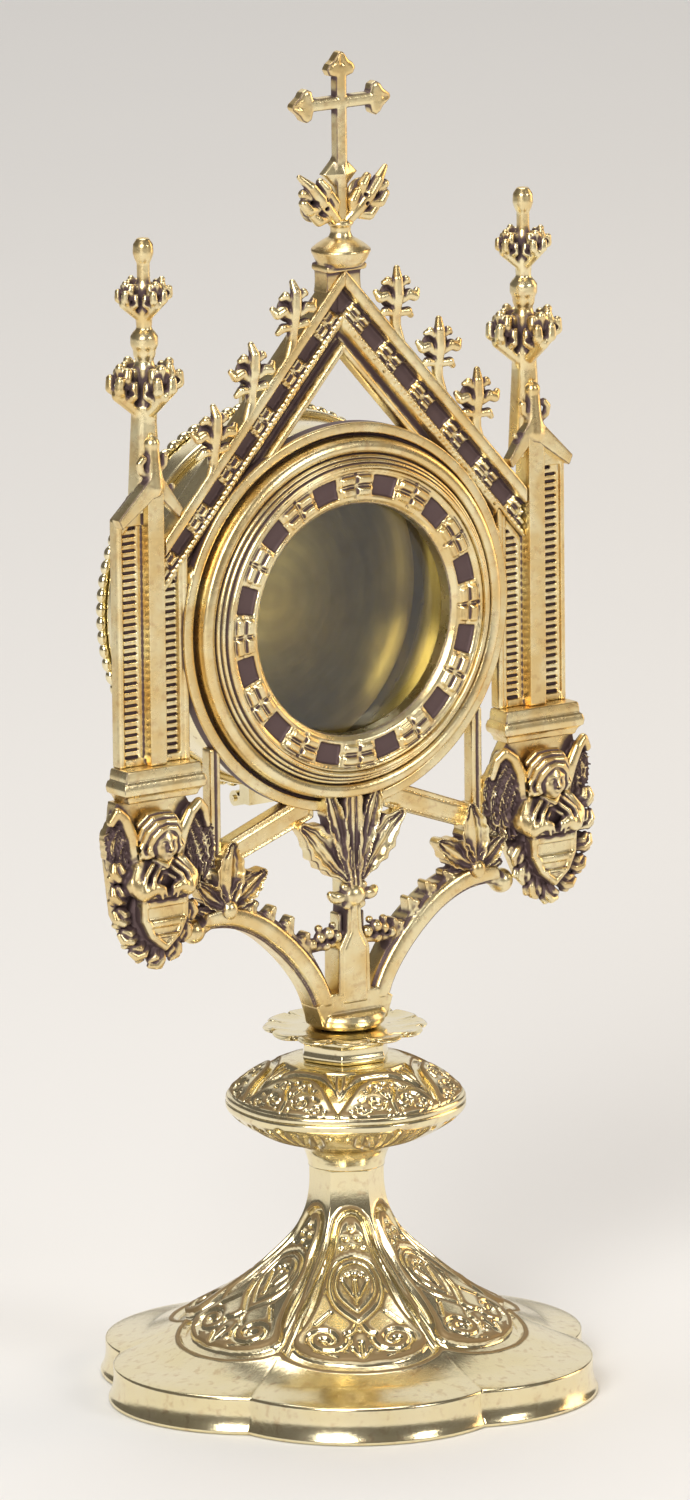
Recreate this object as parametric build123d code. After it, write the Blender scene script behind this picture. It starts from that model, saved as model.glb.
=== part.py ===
from build123d import *
import math
import os

# A small neo-Gothic table monstrance: a glazed round case in a gabled front, on a knopped stem
# and a six-lobed foot. Millimetres. +Z is up, the front faces -Y, and the origin is the centre
# of the foot's underside. The cast pieces are stacked on one tie rod, and the gabled front is
# brazed together from flat castings, so neighbours meet face to face.

# Heights of the stack
NECK_TOP = 40.0
KNOP_SPLIT = 51.8
KNOP_TOP = 59.5
RING_TOP = 64.2
PETAL_TOP = 65.4
SOCKET_TOP = 70.0
CORNICE_BOTTOM = 112.5
CORNICE_TOP = 118.5
WINDOW_Z = 139.7
APEX_Z = 202.6
TOP_Z = 241.0

# Foot: six overlapping tapered discs make the lobed rim
LOBES = 6
LOBE_CENTRE = 19.6
LOBE_RADIUS = 26.8
LOBE_TAPER = 0.205
RIM_TOP = 6.2
SKIRT_RADIUS = 49.0
CAVITY_RADIUS = 39.5
CAVITY_TOP = 29.0

# Tie rod
ROD_RADIUS = 2.45
ROD_HOLE_RADIUS = 2.5
ROD_BOTTOM = 23.0
ROD_TOP = 68.0
NUT_FLATS = 8.0
NUT_HEIGHT = 4.0
WASHER_THICKNESS = 1.2
WASHER_RADIUS = 5.5

# Knop and collars
KNOP_RADIUS = 21.3
CORE_RADIUS = 11.5
CORE_BOTTOM = 47.0
CORE_TOP = 56.0
PETALS = 12
PETAL_CENTRE = 10.9
PETAL_RADIUS = 3.7

# Depths (y) of the front's layers, from the back face forwards
BACK_Y = 1.5
PANEL_Y = -0.7
PANEL_BACK_Y = 1.2
BAR_Y = -1.8
GABLE_Y = -2.3
YOKE_Y = -3.0
YOKE_BACK_Y = 2.0
SHAFT_Y = -2.9
STEM_Y = -3.7

# Window
OPENING_RADIUS = 20.8
ROSETTE_OUTER = 27.2
ROSETTE_FRONT = -5.6
ROSETTE_LIP = -4.4
ROSETTE_BACK = -1.4
PIERCINGS = 12
PIERCING_SIZE = 4.0
PIERCING_DEPTH = 0.9
PIERCING_CENTRE = 24.3
FRAME_OUTER = 34.5
GLASS_RADIUS = 26.9
GLASS_THICKNESS = 2.0
RETAINER_INNER = 23.5

# Gable: slope of its rails and their width across the slope
GABLE_SLOPE = 48.4
RAIL_WIDTH = 10.5
BAND_WIDTH = 6.3

# Turrets
TURRET_X = 41.0
TURRET_INNER = 33.3
TURRET_OUTER = 48.4
SHAFT_HALF = 1.8
PANEL_DEPTH = 0.5

# Case and door at the back
DRUM_INNER = 31.5
DRUM_OUTER = 32.7
DRUM_BACK = 24.0
SEAT_FRONT = 19.0
SEAT_OUTER = 34.0
DOOR_GAP = 0.3
DOOR_THICKNESS = 1.3
PAN_RADIUS = 31.1
PAN_FRONT = 22.2
PAN_WALL = 1.2
BEAD_RADIUS = 0.9
HINGE_Y = 25.3
HINGE_Z = 103.0
KNUCKLE_RADIUS = 1.4
PIN_RADIUS = 0.6
PIN_CLEARANCE = 0.05
HINGE_HALF = 6.0
KNUCKLE_HALF = 2.0

DOOR_FRONT = DRUM_BACK + DOOR_GAP
DOOR_BACK = DOOR_FRONT + DOOR_THICKNESS
WINDOW_AXIS = Axis((0, 0, WINDOW_Z), (0, 1, 0))


def slab(outline, front, back):
    """A flat piece of the front: an outline drawn in x and z, from y = front to y = back."""
    return extrude(Plane.XZ.offset(-back) * outline, back - front, dir=(0, -1, 0))


def turned(points):
    """A piece turned about the stem's axis, from its half profile in radius and z."""
    return revolve(Plane.XZ * Polygon(*points, align=None), Axis.Z)


def spun(points):
    """A piece turned about the window's axis, from its half profile in radius and y."""
    profile = [(y, WINDOW_Z + radius) for radius, y in points]
    return revolve(Plane.YZ * Polygon(*profile, align=None), WINDOW_AXIS)


def hoop(inner, outer, front, back):
    """A plain ring about the window's axis."""
    return spun([(inner, front), (outer, front), (outer, back), (inner, back)])


def block(x, y, z):
    """A box from its limits along each axis."""
    size = Box(x[1] - x[0], y[1] - y[0], z[1] - z[0])
    return Pos((x[0] + x[1]) / 2, (y[0] + y[1]) / 2, (z[0] + z[1]) / 2) * size


def rod_hole():
    return Pos(0, 0, NECK_TOP) * Cylinder(ROD_HOLE_RADIUS, 2 * NECK_TOP)


def on_side(piece, side):
    """Pieces are drawn on the right, +X; the left one is their mirror image."""
    return piece if side > 0 else mirror(piece, about=Plane.YZ)


# Foot, knop and collars


def foot_bell():
    """The six-sided bell: three symmetrical ridge profiles at 60 degrees, intersected."""
    sweep_in = Spline((5.8, 37), (8.4, 28.9), (15.2, 22.3), (25.6, 13.6), (38.6, RIM_TOP))
    edges = Polyline((38.6, RIM_TOP), (38.6, 0), (0, 0), (0, NECK_TOP), (5.8, NECK_TOP), (5.8, 37))
    half = sweep_in + edges
    face = Plane.XZ * make_face(half)
    ridge = extrude(face, 60, both=True)
    ridge += mirror(ridge, about=Plane.YZ)
    return ridge & Rot(0, 0, 60) * ridge & Rot(0, 0, 120) * ridge


def foot_lobes():
    """Six tapered discs, whose union has the lobed outline at every height."""
    top_radius = LOBE_RADIUS - LOBE_TAPER * NECK_TOP
    lobe = Pos(LOBE_CENTRE, 0, NECK_TOP / 2) * Cone(LOBE_RADIUS, top_radius, NECK_TOP)
    lobes = [Rot(0, 0, 360 / LOBES * index) * lobe for index in range(LOBES)]
    return lobes[0] + lobes[1:]


def foot():
    skirt = turned([(0, 0), (SKIRT_RADIUS, 0), (SKIRT_RADIUS, RIM_TOP), (28, 12.4), (0, 12.4)])
    cavity = turned([(0, 0), (CAVITY_RADIUS, 0), (CAVITY_RADIUS, 2.8), (33, 6.6), (26, 10.8),
                     (19, 16.5), (12.5, 21.6), (7.5, 26.5), (6, CAVITY_TOP), (0, CAVITY_TOP)])
    return (foot_bell() + skirt) & foot_lobes() - cavity - rod_hole()


def knop_lower():
    shell = turned([(0, NECK_TOP), (6.9, NECK_TOP), (6.9, 41), (7.9, 43.4), (10.2, 44.6), (15, 46.1),
                    (19.2, 48.6), (KNOP_RADIUS, 50.6), (KNOP_RADIUS, KNOP_SPLIT), (0, KNOP_SPLIT)])
    core = turned([(0, CORE_BOTTOM), (CORE_RADIUS, CORE_BOTTOM), (CORE_RADIUS, KNOP_SPLIT),
                   (0, KNOP_SPLIT)])
    return shell - core - rod_hole()


def knop_upper():
    shell = turned([(0, KNOP_SPLIT), (KNOP_RADIUS, KNOP_SPLIT), (KNOP_RADIUS, 52.6), (20.2, 53.8),
                    (17.5, 56), (13.5, 58.2), (9.5, KNOP_TOP), (0, KNOP_TOP)])
    core = turned([(0, KNOP_SPLIT), (CORE_RADIUS, KNOP_SPLIT), (CORE_RADIUS, CORE_TOP), (0, CORE_TOP)])
    return shell - core - rod_hole()


def collar_ring():
    """The polished ring between knop and petals, with a waist between two rounded edges."""
    waist = (KNOP_TOP + RING_TOP) / 2
    ring = turned([(0, KNOP_TOP), (7.9, KNOP_TOP), (8.4, 60.4), (7.5, waist), (8.4, 63.3), (7.9, RING_TOP),
                   (0, RING_TOP)])
    return ring - rod_hole()


def petal_collar():
    plate = Circle(PETAL_CENTRE)
    for index in range(PETALS):
        plate += Rot(0, 0, 360 / PETALS * index) * Pos(PETAL_CENTRE, 0) * Circle(PETAL_RADIUS)
    return Pos(0, 0, RING_TOP) * extrude(plate, PETAL_TOP - RING_TOP) - rod_hole()


def tie_rod():
    return Pos(0, 0, (ROD_BOTTOM + ROD_TOP) / 2) * Cylinder(ROD_RADIUS, ROD_TOP - ROD_BOTTOM)


def tie_washer():
    washer = Pos(0, 0, CAVITY_TOP - WASHER_THICKNESS / 2) * Cylinder(WASHER_RADIUS, WASHER_THICKNESS)
    return washer - rod_hole()


def tie_nut():
    hexagon = RegularPolygon(NUT_FLATS / 2, 6, major_radius=False)
    nut = extrude(hexagon, NUT_HEIGHT)
    return Pos(0, 0, CAVITY_TOP - WASHER_THICKNESS - NUT_HEIGHT) * nut - rod_hole()


# Yoke: socket, two arms, centre stem, palmette and leaves


def yoke_socket():
    cup = turned([(0, PETAL_TOP), (6.4, PETAL_TOP), (7.2, 66.4), (7.3, 68.2), (6.9, SOCKET_TOP),
                  (0, SOCKET_TOP)])
    shoulder = Polygon((-7.2, 67.6), (7.2, 67.6), (8.2, SOCKET_TOP), (-8.2, SOCKET_TOP), align=None)
    socket = cup + slab(shoulder, YOKE_Y, YOKE_BACK_Y)
    thread = Pos(0, 0, ROD_TOP / 2) * Cylinder(ROD_RADIUS, ROD_TOP)
    return socket - thread


def arm(side):
    """A curved arm from the socket out to the leaf, ending in a small scroll."""
    under = ThreePointArc((8.2, SOCKET_TOP), (17, 81.5), (33.5, 87.4))
    over = ThreePointArc((30, 90.4), (13.5, 83.8), (3.5, SOCKET_TOP))
    end = Polyline((33.5, 87.4), (33.5, 90.4), (30, 90.4))
    bar = make_face(under + end + over + Line((3.5, SOCKET_TOP), (8.2, SOCKET_TOP)))
    scroll = Pos(33.4, 87.2) * Circle(2.2)
    return on_side(slab(bar + scroll, YOKE_Y, YOKE_BACK_Y), side)


def centre_stem():
    shaft = Polygon((-3.5, SOCKET_TOP), (3.5, SOCKET_TOP), (3.5, 80), (1.6, 83), (1.5, 91), (-1.5, 91),
                    (-1.6, 83), (-3.5, 80), align=None)
    bud = Pos(0, 89.4) * Ellipse(5.0, 1.6)
    return slab(shaft + bud, STEM_Y, BACK_Y)


def palmette(cut):
    """The five-lobed leaf on the stem, lying over the bottom of the window frame."""
    lobes = Pos(0, 101) * Ellipse(3.6, 10)
    for lean in (-1, 1):
        lobes += Pos(lean * 4.2, 98.4) * Rot(0, 0, -lean * 33) * Ellipse(3.0, 8.4)
        lobes += Pos(lean * 6.2, 99.6) * Rot(0, 0, -lean * 62) * Ellipse(2.6, 6.6)
    return slab(lobes & Pos(0, 106) * Rectangle(40, 30), -4.9, 0) - cut


def leaf_spray(side, cut):
    """The three-lobed leaf where arm, strut and post meet."""
    leaf = Pos(27, 97) * Ellipse(3.0, 6.2)
    leaf += Pos(30.4, 93.6) * Rot(0, 0, -48) * Ellipse(2.2, 4.4)
    leaf += Pos(22.8, 93.8) * Rot(0, 0, 50) * Ellipse(2.4, 5.4)
    leaf += Pos(27, 91.4) * Circle(2.6)
    return on_side(slab(leaf, -4.2, -0.2), side) - cut


def post(side, cut):
    return on_side(block((27.2, 29.4), (-1.6, 1.2), (90.4, 120)), side) - cut


def strut(side, cut):
    """The bar from the window frame down to the leaf."""
    bar = Polygon((8, 104.6), (8, 109.4), (25.9, 102.6), (27.2, 100.6), (27.2, 97.6), (24.6, 98.6),
                  align=None)
    return on_side(slab(bar, BAR_Y, 1.2), side) - cut


# Window


def window_frame(cut):
    """The moulded ring round the window."""
    ring = spun([(ROSETTE_OUTER, BACK_Y), (ROSETTE_OUTER, -5.8), (27.8, -5.6), (29.5, -3.6), (30.6, -3.6),
                 (32.2, -2.4), (32.9, -1.2), (33.2, -2.0), (FRAME_OUTER, -1.9), (FRAME_OUTER, BACK_Y)])
    return ring - cut


def rosette_ring():
    """The flat ring that holds the glass, with its square sinkings between rosettes."""
    ring = spun([(OPENING_RADIUS, ROSETTE_BACK), (OPENING_RADIUS, ROSETTE_LIP), (22.0, ROSETTE_FRONT),
                 (ROSETTE_OUTER, ROSETTE_FRONT), (ROSETTE_OUTER, ROSETTE_BACK)])
    for index in range(PIERCINGS):
        angle = 360 / PIERCINGS * (index + 0.5)
        square = Rot(0, 0, angle) * Pos(PIERCING_CENTRE, 0) * Rectangle(PIERCING_SIZE, PIERCING_SIZE)
        ring -= slab(Pos(0, WINDOW_Z) * square, ROSETTE_FRONT - 1, ROSETTE_FRONT + PIERCING_DEPTH)
    return ring


def glass_pane():
    return hoop(0, GLASS_RADIUS, ROSETTE_BACK, ROSETTE_BACK + GLASS_THICKNESS)


def glass_retainer():
    return hoop(RETAINER_INNER, ROSETTE_OUTER, ROSETTE_BACK + GLASS_THICKNESS, BACK_Y)


# Gable


def on_slope(x, inset):
    """The point at x on a line parallel to the gable's outer edge, inset from it."""
    slope = math.radians(GABLE_SLOPE)
    return (x, APEX_Z - inset / math.cos(slope) - x * math.tan(slope))


def gable_rail(side, cut):
    """Half of the gable. Its inner mouldings stop at the turret, and its band runs on to the shaft."""
    foot_x = TURRET_X - SHAFT_HALF
    rail = Polygon(on_slope(0, 0), on_slope(foot_x, 0), on_slope(foot_x, BAND_WIDTH),
                   on_slope(TURRET_INNER, BAND_WIDTH), on_slope(TURRET_INNER, RAIL_WIDTH),
                   on_slope(0, RAIL_WIDTH), align=None)
    return on_side(slab(rail, GABLE_Y, BACK_Y), side) - cut


def crockets(side, cut):
    """Three curled leaves along the rail's outer edge."""
    group = []
    for x, z in ((11, 196.4), (20, 186.2), (28.2, 176.0)):
        leaf = Pos(x, z) * Circle(2.6) + Pos(x - 0.4, z + 3.2) * Circle(1.7)
        leaf += Pos(x + 3.2, z - 1.6) * Circle(1.8) + Pos(x - 3.0, z + 0.6) * Circle(1.5)
        leaf += Pos(x - 0.9, z - 4.4) * Rectangle(2.6, 7.6)
        group.append(on_side(slab(leaf, -3.7, -0.3), side) - cut)
    return group


def apex_cap(cut):
    """The block over the gable's point, with its turned knob and the cross's socket."""
    neck = block((-4.4, 4.4), (-4.2, 2.2), (196, 203.2))
    knob = turned([(0, 203.2), (3.8, 203.2), (5.3, 205.3), (5.3, 206.3), (3.6, 208), (2.0, 208.6),
                   (2.0, 211), (0, 211)])
    return neck + Pos(0, -1.2, 0) * knob - cut


def cross():
    """A cross with three-pointed ends, on a diamond knop."""
    outline = Pos(0, (211 + TOP_Z) / 2) * Rectangle(2.2, TOP_Z - 211)
    outline += Pos(0, 232) * Rectangle(18, 2.2)
    outline += Pos(0, 219.4) * Rot(0, 0, 45) * Rectangle(4.6, 4.6)
    for end in (Pos(8.2, 232) * Rot(0, 0, -90), Pos(-8.2, 232) * Rot(0, 0, 90), Pos(0, TOP_Z - 2.2)):
        outline += end * Polygon((-2.7, 0), (-1.1, -1.8), (1.1, -1.8), (2.7, 0), (0, 2.2), align=None)
    return slab(outline, -2.3, -0.1)


def cross_leaves(cut):
    """The pair of leaf clusters at the foot of the cross."""
    group = []
    for side in (-1, 1):
        leaf = Pos(4.8, 215) * Rot(0, 0, -38) * Ellipse(2.9, 4.4) + Pos(1.6, 212.2) * Rectangle(2.6, 2.4)
        group.append(on_side(slab(leaf, -3.0, 0.6), side) - cut)
    return group


# Turrets


def turret_shaft():
    return block((TURRET_X - SHAFT_HALF, TURRET_X + SHAFT_HALF), (SHAFT_Y, BACK_Y), (CORNICE_TOP, 168))


def turret(side, cut):
    """A panelled turret face with a buttress shaft up its middle."""
    face = Polygon((TURRET_INNER, CORNICE_TOP), (TURRET_OUTER, CORNICE_TOP), (TURRET_OUTER, 162.5),
                   (TURRET_X, 170.5), (TURRET_INNER, 162.5), align=None)
    plate = slab(face, PANEL_Y, PANEL_BACK_Y)
    for low, high, top in ((43.9, 46.6, 160), (35.6, 38.1, 149)):
        plate -= block((low, high), (PANEL_Y - 1, PANEL_Y + PANEL_DEPTH), (CORNICE_TOP + 1.5, top))
    return on_side(plate + turret_shaft(), side) - cut


def gablet(side, cut):
    """The little gable over each turret, ending in a bud."""
    rakes = Polygon((35.5, 160.4), (TURRET_X, 167.6), (48.6, 161.0), (49.0, 163.2), (TURRET_X + 1.6, 171.4),
                    (TURRET_X, 177.6), (TURRET_X - 1.6, 172.4), (35.0, 163.4), align=None)
    return on_side(slab(rakes, -3.0, -0.4), side) - cut


def cornice(side):
    """Three stepped mouldings under a turret."""
    steps = block((33.3, 48.8), (-3.9, 1.2), (CORNICE_BOTTOM, 114))
    steps += block((32.3, 49.8), (-4.8, 1.5), (114, 116.6))
    steps += block((32.8, 49.3), (-4.3, 1.2), (116.6, CORNICE_TOP))
    return on_side(steps, side)


def pinnacle(side, cut):
    """A square spire with two tiers of leaves, a ball and a tip."""
    base = Pos(TURRET_X, 1.5, 164) * extrude(Rectangle(5.4, 3.9), 19, taper=2)
    tiers = turned([(0, 180), (2.0, 180), (6.2, 184), (6.2, 187.5), (3.0, 190), (1.9, 191.6),
                    (2.3, 192.4), (2.3, 195.2), (1.7, 196), (1.7, 198), (4.9, 200.5), (4.9, 203),
                    (1.3, 205.4), (1.2, 208.6), (1.7, 209.4), (1.7, 211.6), (0, 212.4)])
    return on_side(base + Pos(TURRET_X - 0.2, 0.6, 0) * tiers, side) - cut


def angel_corbel(side, cut):
    """A winged bust over a blank shield, carrying the turret."""
    body = Polygon((33.2, CORNICE_BOTTOM), (51.8, CORNICE_BOTTOM), (52, 101), (48.6, 91), (42.4, 82.4),
                   (37.6, 86.4), (34.2, 94), (32.6, 103), align=None)
    figure = slab(body, -4.0, BACK_Y)
    head = Pos(42.2, -4.6, 105.4) * Sphere(3.4)
    escutcheon = Polygon((37.4, 99.6), (47.2, 99.6), (46.8, 91), (42.4, 86), (37.8, 91), align=None)
    shield = slab(escutcheon, -6.4, -4.0)
    return on_side(figure + head + shield, side) - cut


# Case and door


def case_drum():
    return hoop(DRUM_INNER, DRUM_OUTER, BACK_Y, DRUM_BACK)


def door_seat():
    return hoop(DRUM_OUTER, SEAT_OUTER, SEAT_FRONT, DRUM_BACK)


def knuckle(low, high, hole):
    """One barrel of the hinge, with its hole, between two values of x."""
    middle = Pos((low + high) / 2, HINGE_Y, HINGE_Z) * Rot(0, 90, 0)
    return middle * (Cylinder(KNUCKLE_RADIUS, high - low) - Cylinder(hole, high - low))


def hinge_bracket(cut):
    """The fixed leaf under the case, with two knuckles."""
    bracket = block((-HINGE_HALF, HINGE_HALF), (20.5, 23.5), (HINGE_Z - 0.5, 107)) - cut
    for side in (-1, 1):
        low, high = sorted((side * (KNUCKLE_HALF + 0.2), side * HINGE_HALF))
        ear = block((low, high), (23.5, HINGE_Y), (HINGE_Z - 0.5, HINGE_Z + 0.7))
        ear -= Pos(0, HINGE_Y, HINGE_Z) * Rot(0, 90, 0) * Cylinder(KNUCKLE_RADIUS, 4 * HINGE_HALF)
        bracket += ear + knuckle(low, high, PIN_RADIUS)
    return bracket


def hinge_pin():
    return Pos(0, HINGE_Y, HINGE_Z) * Rot(0, 90, 0) * Cylinder(PIN_RADIUS, 2 * HINGE_HALF + 0.8)


def door_knuckle():
    """The door's leaf, on its back, with the middle knuckle."""
    leaf = block((-KNUCKLE_HALF, KNUCKLE_HALF), (DOOR_BACK, DOOR_BACK + 1.0), (HINGE_Z, 109.1))
    leaf -= Pos(0, HINGE_Y, HINGE_Z) * Rot(0, 90, 0) * Cylinder(KNUCKLE_RADIUS, 2 * HINGE_HALF)
    return leaf + knuckle(-KNUCKLE_HALF, KNUCKLE_HALF, PIN_RADIUS + PIN_CLEARANCE)


def back_door():
    """A spun cover: a flat rim on the case's edge, and a pan that drops inside it."""
    inside = PAN_RADIUS - PAN_WALL
    floor = PAN_FRONT + PAN_WALL
    return spun([(0, PAN_FRONT), (PAN_RADIUS, PAN_FRONT), (PAN_RADIUS, DOOR_FRONT),
                 (SEAT_OUTER, DOOR_FRONT), (SEAT_OUTER, DOOR_BACK), (inside, DOOR_BACK),
                 (inside, floor), (0, floor)])


def door_bead(cut):
    """The beaded rim round the door's edge."""
    profile = Plane.YZ * Pos(DOOR_FRONT + BEAD_RADIUS, WINDOW_Z + SEAT_OUTER) * Circle(BEAD_RADIUS)
    return revolve(profile, WINDOW_AXIS) - cut


def thumb_tab(cut):
    """The tongue at the top of the door that a thumb pulls."""
    edge = WINDOW_Z + SEAT_OUTER
    tongue = Pos(0, edge + 0.6) * Rectangle(6, 4) + Pos(0, edge + 2.6) * Circle(3)
    return slab(tongue, DOOR_BACK, DOOR_BACK + 1.0) - cut


def snap_spring():
    """The bent strip inside the door's top that grips the case wall."""
    strip = hoop(29.4, 29.9, 17, PAN_FRONT) + hoop(28.0, 29.9, 21.7, PAN_FRONT)
    return strip & block((-3, 3), (0, DOOR_BACK), (WINDOW_Z, WINDOW_Z + DRUM_INNER))


def build():
    """Every node, each cut back where a neighbour already stands."""
    nodes = {
        "foot": foot(),
        "knop_lower": knop_lower(),
        "knop_upper": knop_upper(),
        "collar_ring": collar_ring(),
        "petal_collar": petal_collar(),
        "tie_rod": tie_rod(),
        "tie_washer": tie_washer(),
        "tie_nut": tie_nut(),
        "yoke_socket": yoke_socket(),
        "centre_stem": centre_stem(),
        "rosette_ring": rosette_ring(),
        "glass_pane": glass_pane(),
        "glass_retainer": glass_retainer(),
        "cross": cross(),
        "case_drum": case_drum(),
        "door_seat": door_seat(),
        "hinge_pin": hinge_pin(),
        "back_door": back_door(),
        "door_knuckle": door_knuckle(),
        "snap_spring": snap_spring(),
    }
    sides = {"left": -1, "right": 1}
    turret_space = block((TURRET_INNER, TURRET_OUTER), (-9, 9), (CORNICE_TOP, 165))
    panels = [on_side(turret_space, side) for side in (-1, 1)]
    nodes["window_frame"] = window_frame(panels)
    window_space = hoop(0, FRAME_OUTER, -9, 9)
    for name, side in sides.items():
        nodes[name + "_arm"] = arm(side)
        nodes[name + "_cornice"] = cornice(side)
        nodes[name + "_post"] = post(side, window_space)
        nodes[name + "_strut"] = strut(side, [window_space, nodes[name + "_post"]])
        nodes[name + "_rail"] = gable_rail(side, window_space)
        nodes[name + "_crockets"] = crockets(side, nodes[name + "_rail"])
        nodes[name + "_turret"] = turret(side, nodes[name + "_rail"])
        nodes[name + "_gablet"] = gablet(side, [nodes[name + "_turret"], nodes[name + "_rail"]])
        nodes[name + "_pinnacle"] = pinnacle(side, [nodes[name + "_turret"], nodes[name + "_gablet"]])
        nodes[name + "_angel_corbel"] = angel_corbel(side, nodes[name + "_arm"])
        leaf_neighbours = [nodes[name + part] for part in ("_arm", "_post", "_strut", "_angel_corbel")]
        nodes[name + "_leaf_spray"] = leaf_spray(side, leaf_neighbours)
    palmette_neighbours = [nodes["window_frame"], nodes["centre_stem"], nodes["left_strut"],
                           nodes["right_strut"], nodes["rosette_ring"]]
    nodes["palmette"] = palmette(palmette_neighbours)
    nodes["apex_cap"] = apex_cap([nodes["left_rail"], nodes["right_rail"]])
    nodes["cross_leaves"] = cross_leaves(nodes["cross"])
    nodes["hinge_bracket"] = hinge_bracket(hoop(0, SEAT_OUTER, 0, DOOR_BACK))
    nodes["thumb_tab"] = thumb_tab(nodes["back_door"])
    nodes["door_bead"] = door_bead([nodes["back_door"], nodes["door_knuckle"], nodes["thumb_tab"]])
    return nodes


def write(nodes):
    os.makedirs("parts", exist_ok=True)
    for name, piece in nodes.items():
        solids = piece if isinstance(piece, list) else [piece]
        whole = Compound(children=[solid for shape in solids for solid in shape.solids()])
        whole.label = name
        export_step(whole, f"parts/{name}.step")


write(build())
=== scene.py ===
import math
from functools import reduce
import bpy
import numpy as np
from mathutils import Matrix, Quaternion, Vector


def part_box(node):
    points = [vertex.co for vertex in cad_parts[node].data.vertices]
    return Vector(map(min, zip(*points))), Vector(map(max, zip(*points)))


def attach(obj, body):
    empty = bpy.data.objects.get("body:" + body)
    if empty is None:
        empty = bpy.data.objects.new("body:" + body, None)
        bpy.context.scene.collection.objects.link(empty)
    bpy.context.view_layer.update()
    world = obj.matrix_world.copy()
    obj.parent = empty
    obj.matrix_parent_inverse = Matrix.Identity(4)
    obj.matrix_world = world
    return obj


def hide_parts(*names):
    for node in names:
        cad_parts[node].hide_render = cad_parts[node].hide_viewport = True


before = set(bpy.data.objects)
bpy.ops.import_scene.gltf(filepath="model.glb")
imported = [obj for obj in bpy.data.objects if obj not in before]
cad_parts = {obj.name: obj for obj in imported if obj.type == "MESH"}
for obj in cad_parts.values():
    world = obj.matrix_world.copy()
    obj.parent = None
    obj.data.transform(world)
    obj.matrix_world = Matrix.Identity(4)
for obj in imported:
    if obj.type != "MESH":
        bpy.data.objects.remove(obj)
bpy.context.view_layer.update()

# The ornaments are sculpted here as distance fields in millimetres, turned into meshes, and
# scaled to metres. Sizes are in millimetres unless a name ends in _m. Every mesh also stores how
# open its surface is: FLAT_OPEN where it is flat, less in hollows and more on edges.
MM = 0.001
TAU = 2 * math.pi
WINDOW_Z = sum(corner[2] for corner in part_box("glass_pane")) / 2 / MM
FRAME_NODES = "frame"
DOOR_NODES = "door"
FLAT_OPEN = 0.62
FAR = 9     # mm, past anything it is compared with
SPUN_AROUND = 480


# ---------------------------------------------------------------- fields


def join(a, b, soft):
    """Union of two fields, with a fillet of about that size."""
    mix = np.clip(0.5 + 0.5 * (b - a) / soft, 0, 1)
    return b + (a - b) * mix - soft * mix * (1 - mix)


def meet(a, b, soft):
    """Intersection of two fields, with its edge rounded."""
    return -join(-a, -b, soft)


def cut(a, b, soft):
    """Field a with field b taken away."""
    return -join(-a, b, soft)


def join_all(fields, soft):
    return reduce(lambda a, b: join(a, b, soft), fields)


def ball(p, centre, radius):
    x, y, z = p
    return np.sqrt((x - centre[0]) ** 2 + (y - centre[1]) ** 2 + (z - centre[2]) ** 2) - radius


def egg(p, centre, radii, turn=0.0):
    """An ellipsoid, turned by an angle in degrees in the plane of the front."""
    x, y, z = p[0] - centre[0], p[1] - centre[1], p[2] - centre[2]
    c, s = math.cos(math.radians(turn)), math.sin(math.radians(turn))
    x, z = c * x + s * z, c * z - s * x
    a, b, d = radii
    near = np.sqrt((x / a) ** 2 + (y / b) ** 2 + (z / d) ** 2)
    slope = np.sqrt((x / a ** 2) ** 2 + (y / b ** 2) ** 2 + (z / d ** 2) ** 2) + 1e-6
    return near * (near - 1) / slope


def rod(p, a, b, ra, rb):
    """A round bar from a to b, whose radius goes from ra to rb."""
    ab = np.subtract(b, a)
    x, y, z = p[0] - a[0], p[1] - a[1], p[2] - a[2]
    t = np.clip((x * ab[0] + y * ab[1] + z * ab[2]) / (ab @ ab + 1e-9), 0, 1)
    gap = np.sqrt((x - t * ab[0]) ** 2 + (y - t * ab[1]) ** 2 + (z - t * ab[2]) ** 2)
    return gap - (ra + (rb - ra) * t)


def wire(p, points, radii):
    """A round bar through points, with a radius at each."""
    return reduce(np.minimum, (rod(p, *ends) for ends in zip(points, points[1:], radii, radii[1:])))


def brick(p, low, high, round_=0.2):
    """A box between two corners with rounded edges."""
    q = [np.abs(v - (lo + hi) / 2) - ((hi - lo) / 2 - round_) for v, lo, hi in zip(p, low, high)]
    outside = np.sqrt(sum(np.maximum(v, 0) ** 2 for v in q))
    return outside + np.minimum(np.maximum(np.maximum(q[0], q[1]), q[2]), 0) - round_


def segment(x, z, a, b):
    """Distance to a line between two points of the front's plane, and how far along it."""
    ax, az, bx, bz = a[0], a[1], b[0] - a[0], b[1] - a[1]
    t = np.clip(((x - ax) * bx + (z - az) * bz) / (bx * bx + bz * bz + 1e-9), 0, 1)
    return np.hypot(x - ax - t * bx, z - az - t * bz), t


def line(x, z, points):
    """Distance to a line through points, and the share of its length at the nearest one."""
    steps = [math.dist(a, b) for a, b in zip(points, points[1:])]
    total, gone = sum(steps), 0.0
    best, share = None, None
    for (a, b), step in zip(zip(points, points[1:]), steps):
        gap, t = segment(x, z, a, b)
        here = (gone + t * step) / total
        if best is None:
            best, share = gap, here
        else:
            share = np.where(gap < best, here, share)
            best = np.minimum(best, gap)
        gone += step
    return best, share


def polygon(x, z, points):
    """Signed distance to a closed outline, negative inside."""
    gap, inside = None, None
    for a, b in zip(points, points[1:] + points[:1]):
        near = segment(x, z, a, b)[0]
        gap = near if gap is None else np.minimum(gap, near)
        crosses = ((a[1] > z) != (b[1] > z)) & (x < (b[0] - a[0]) * (z - a[1]) / (b[1] - a[1] + 1e-9) + a[0])
        inside = crosses if inside is None else inside ^ crosses
    return np.where(inside, -gap, gap)


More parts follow.
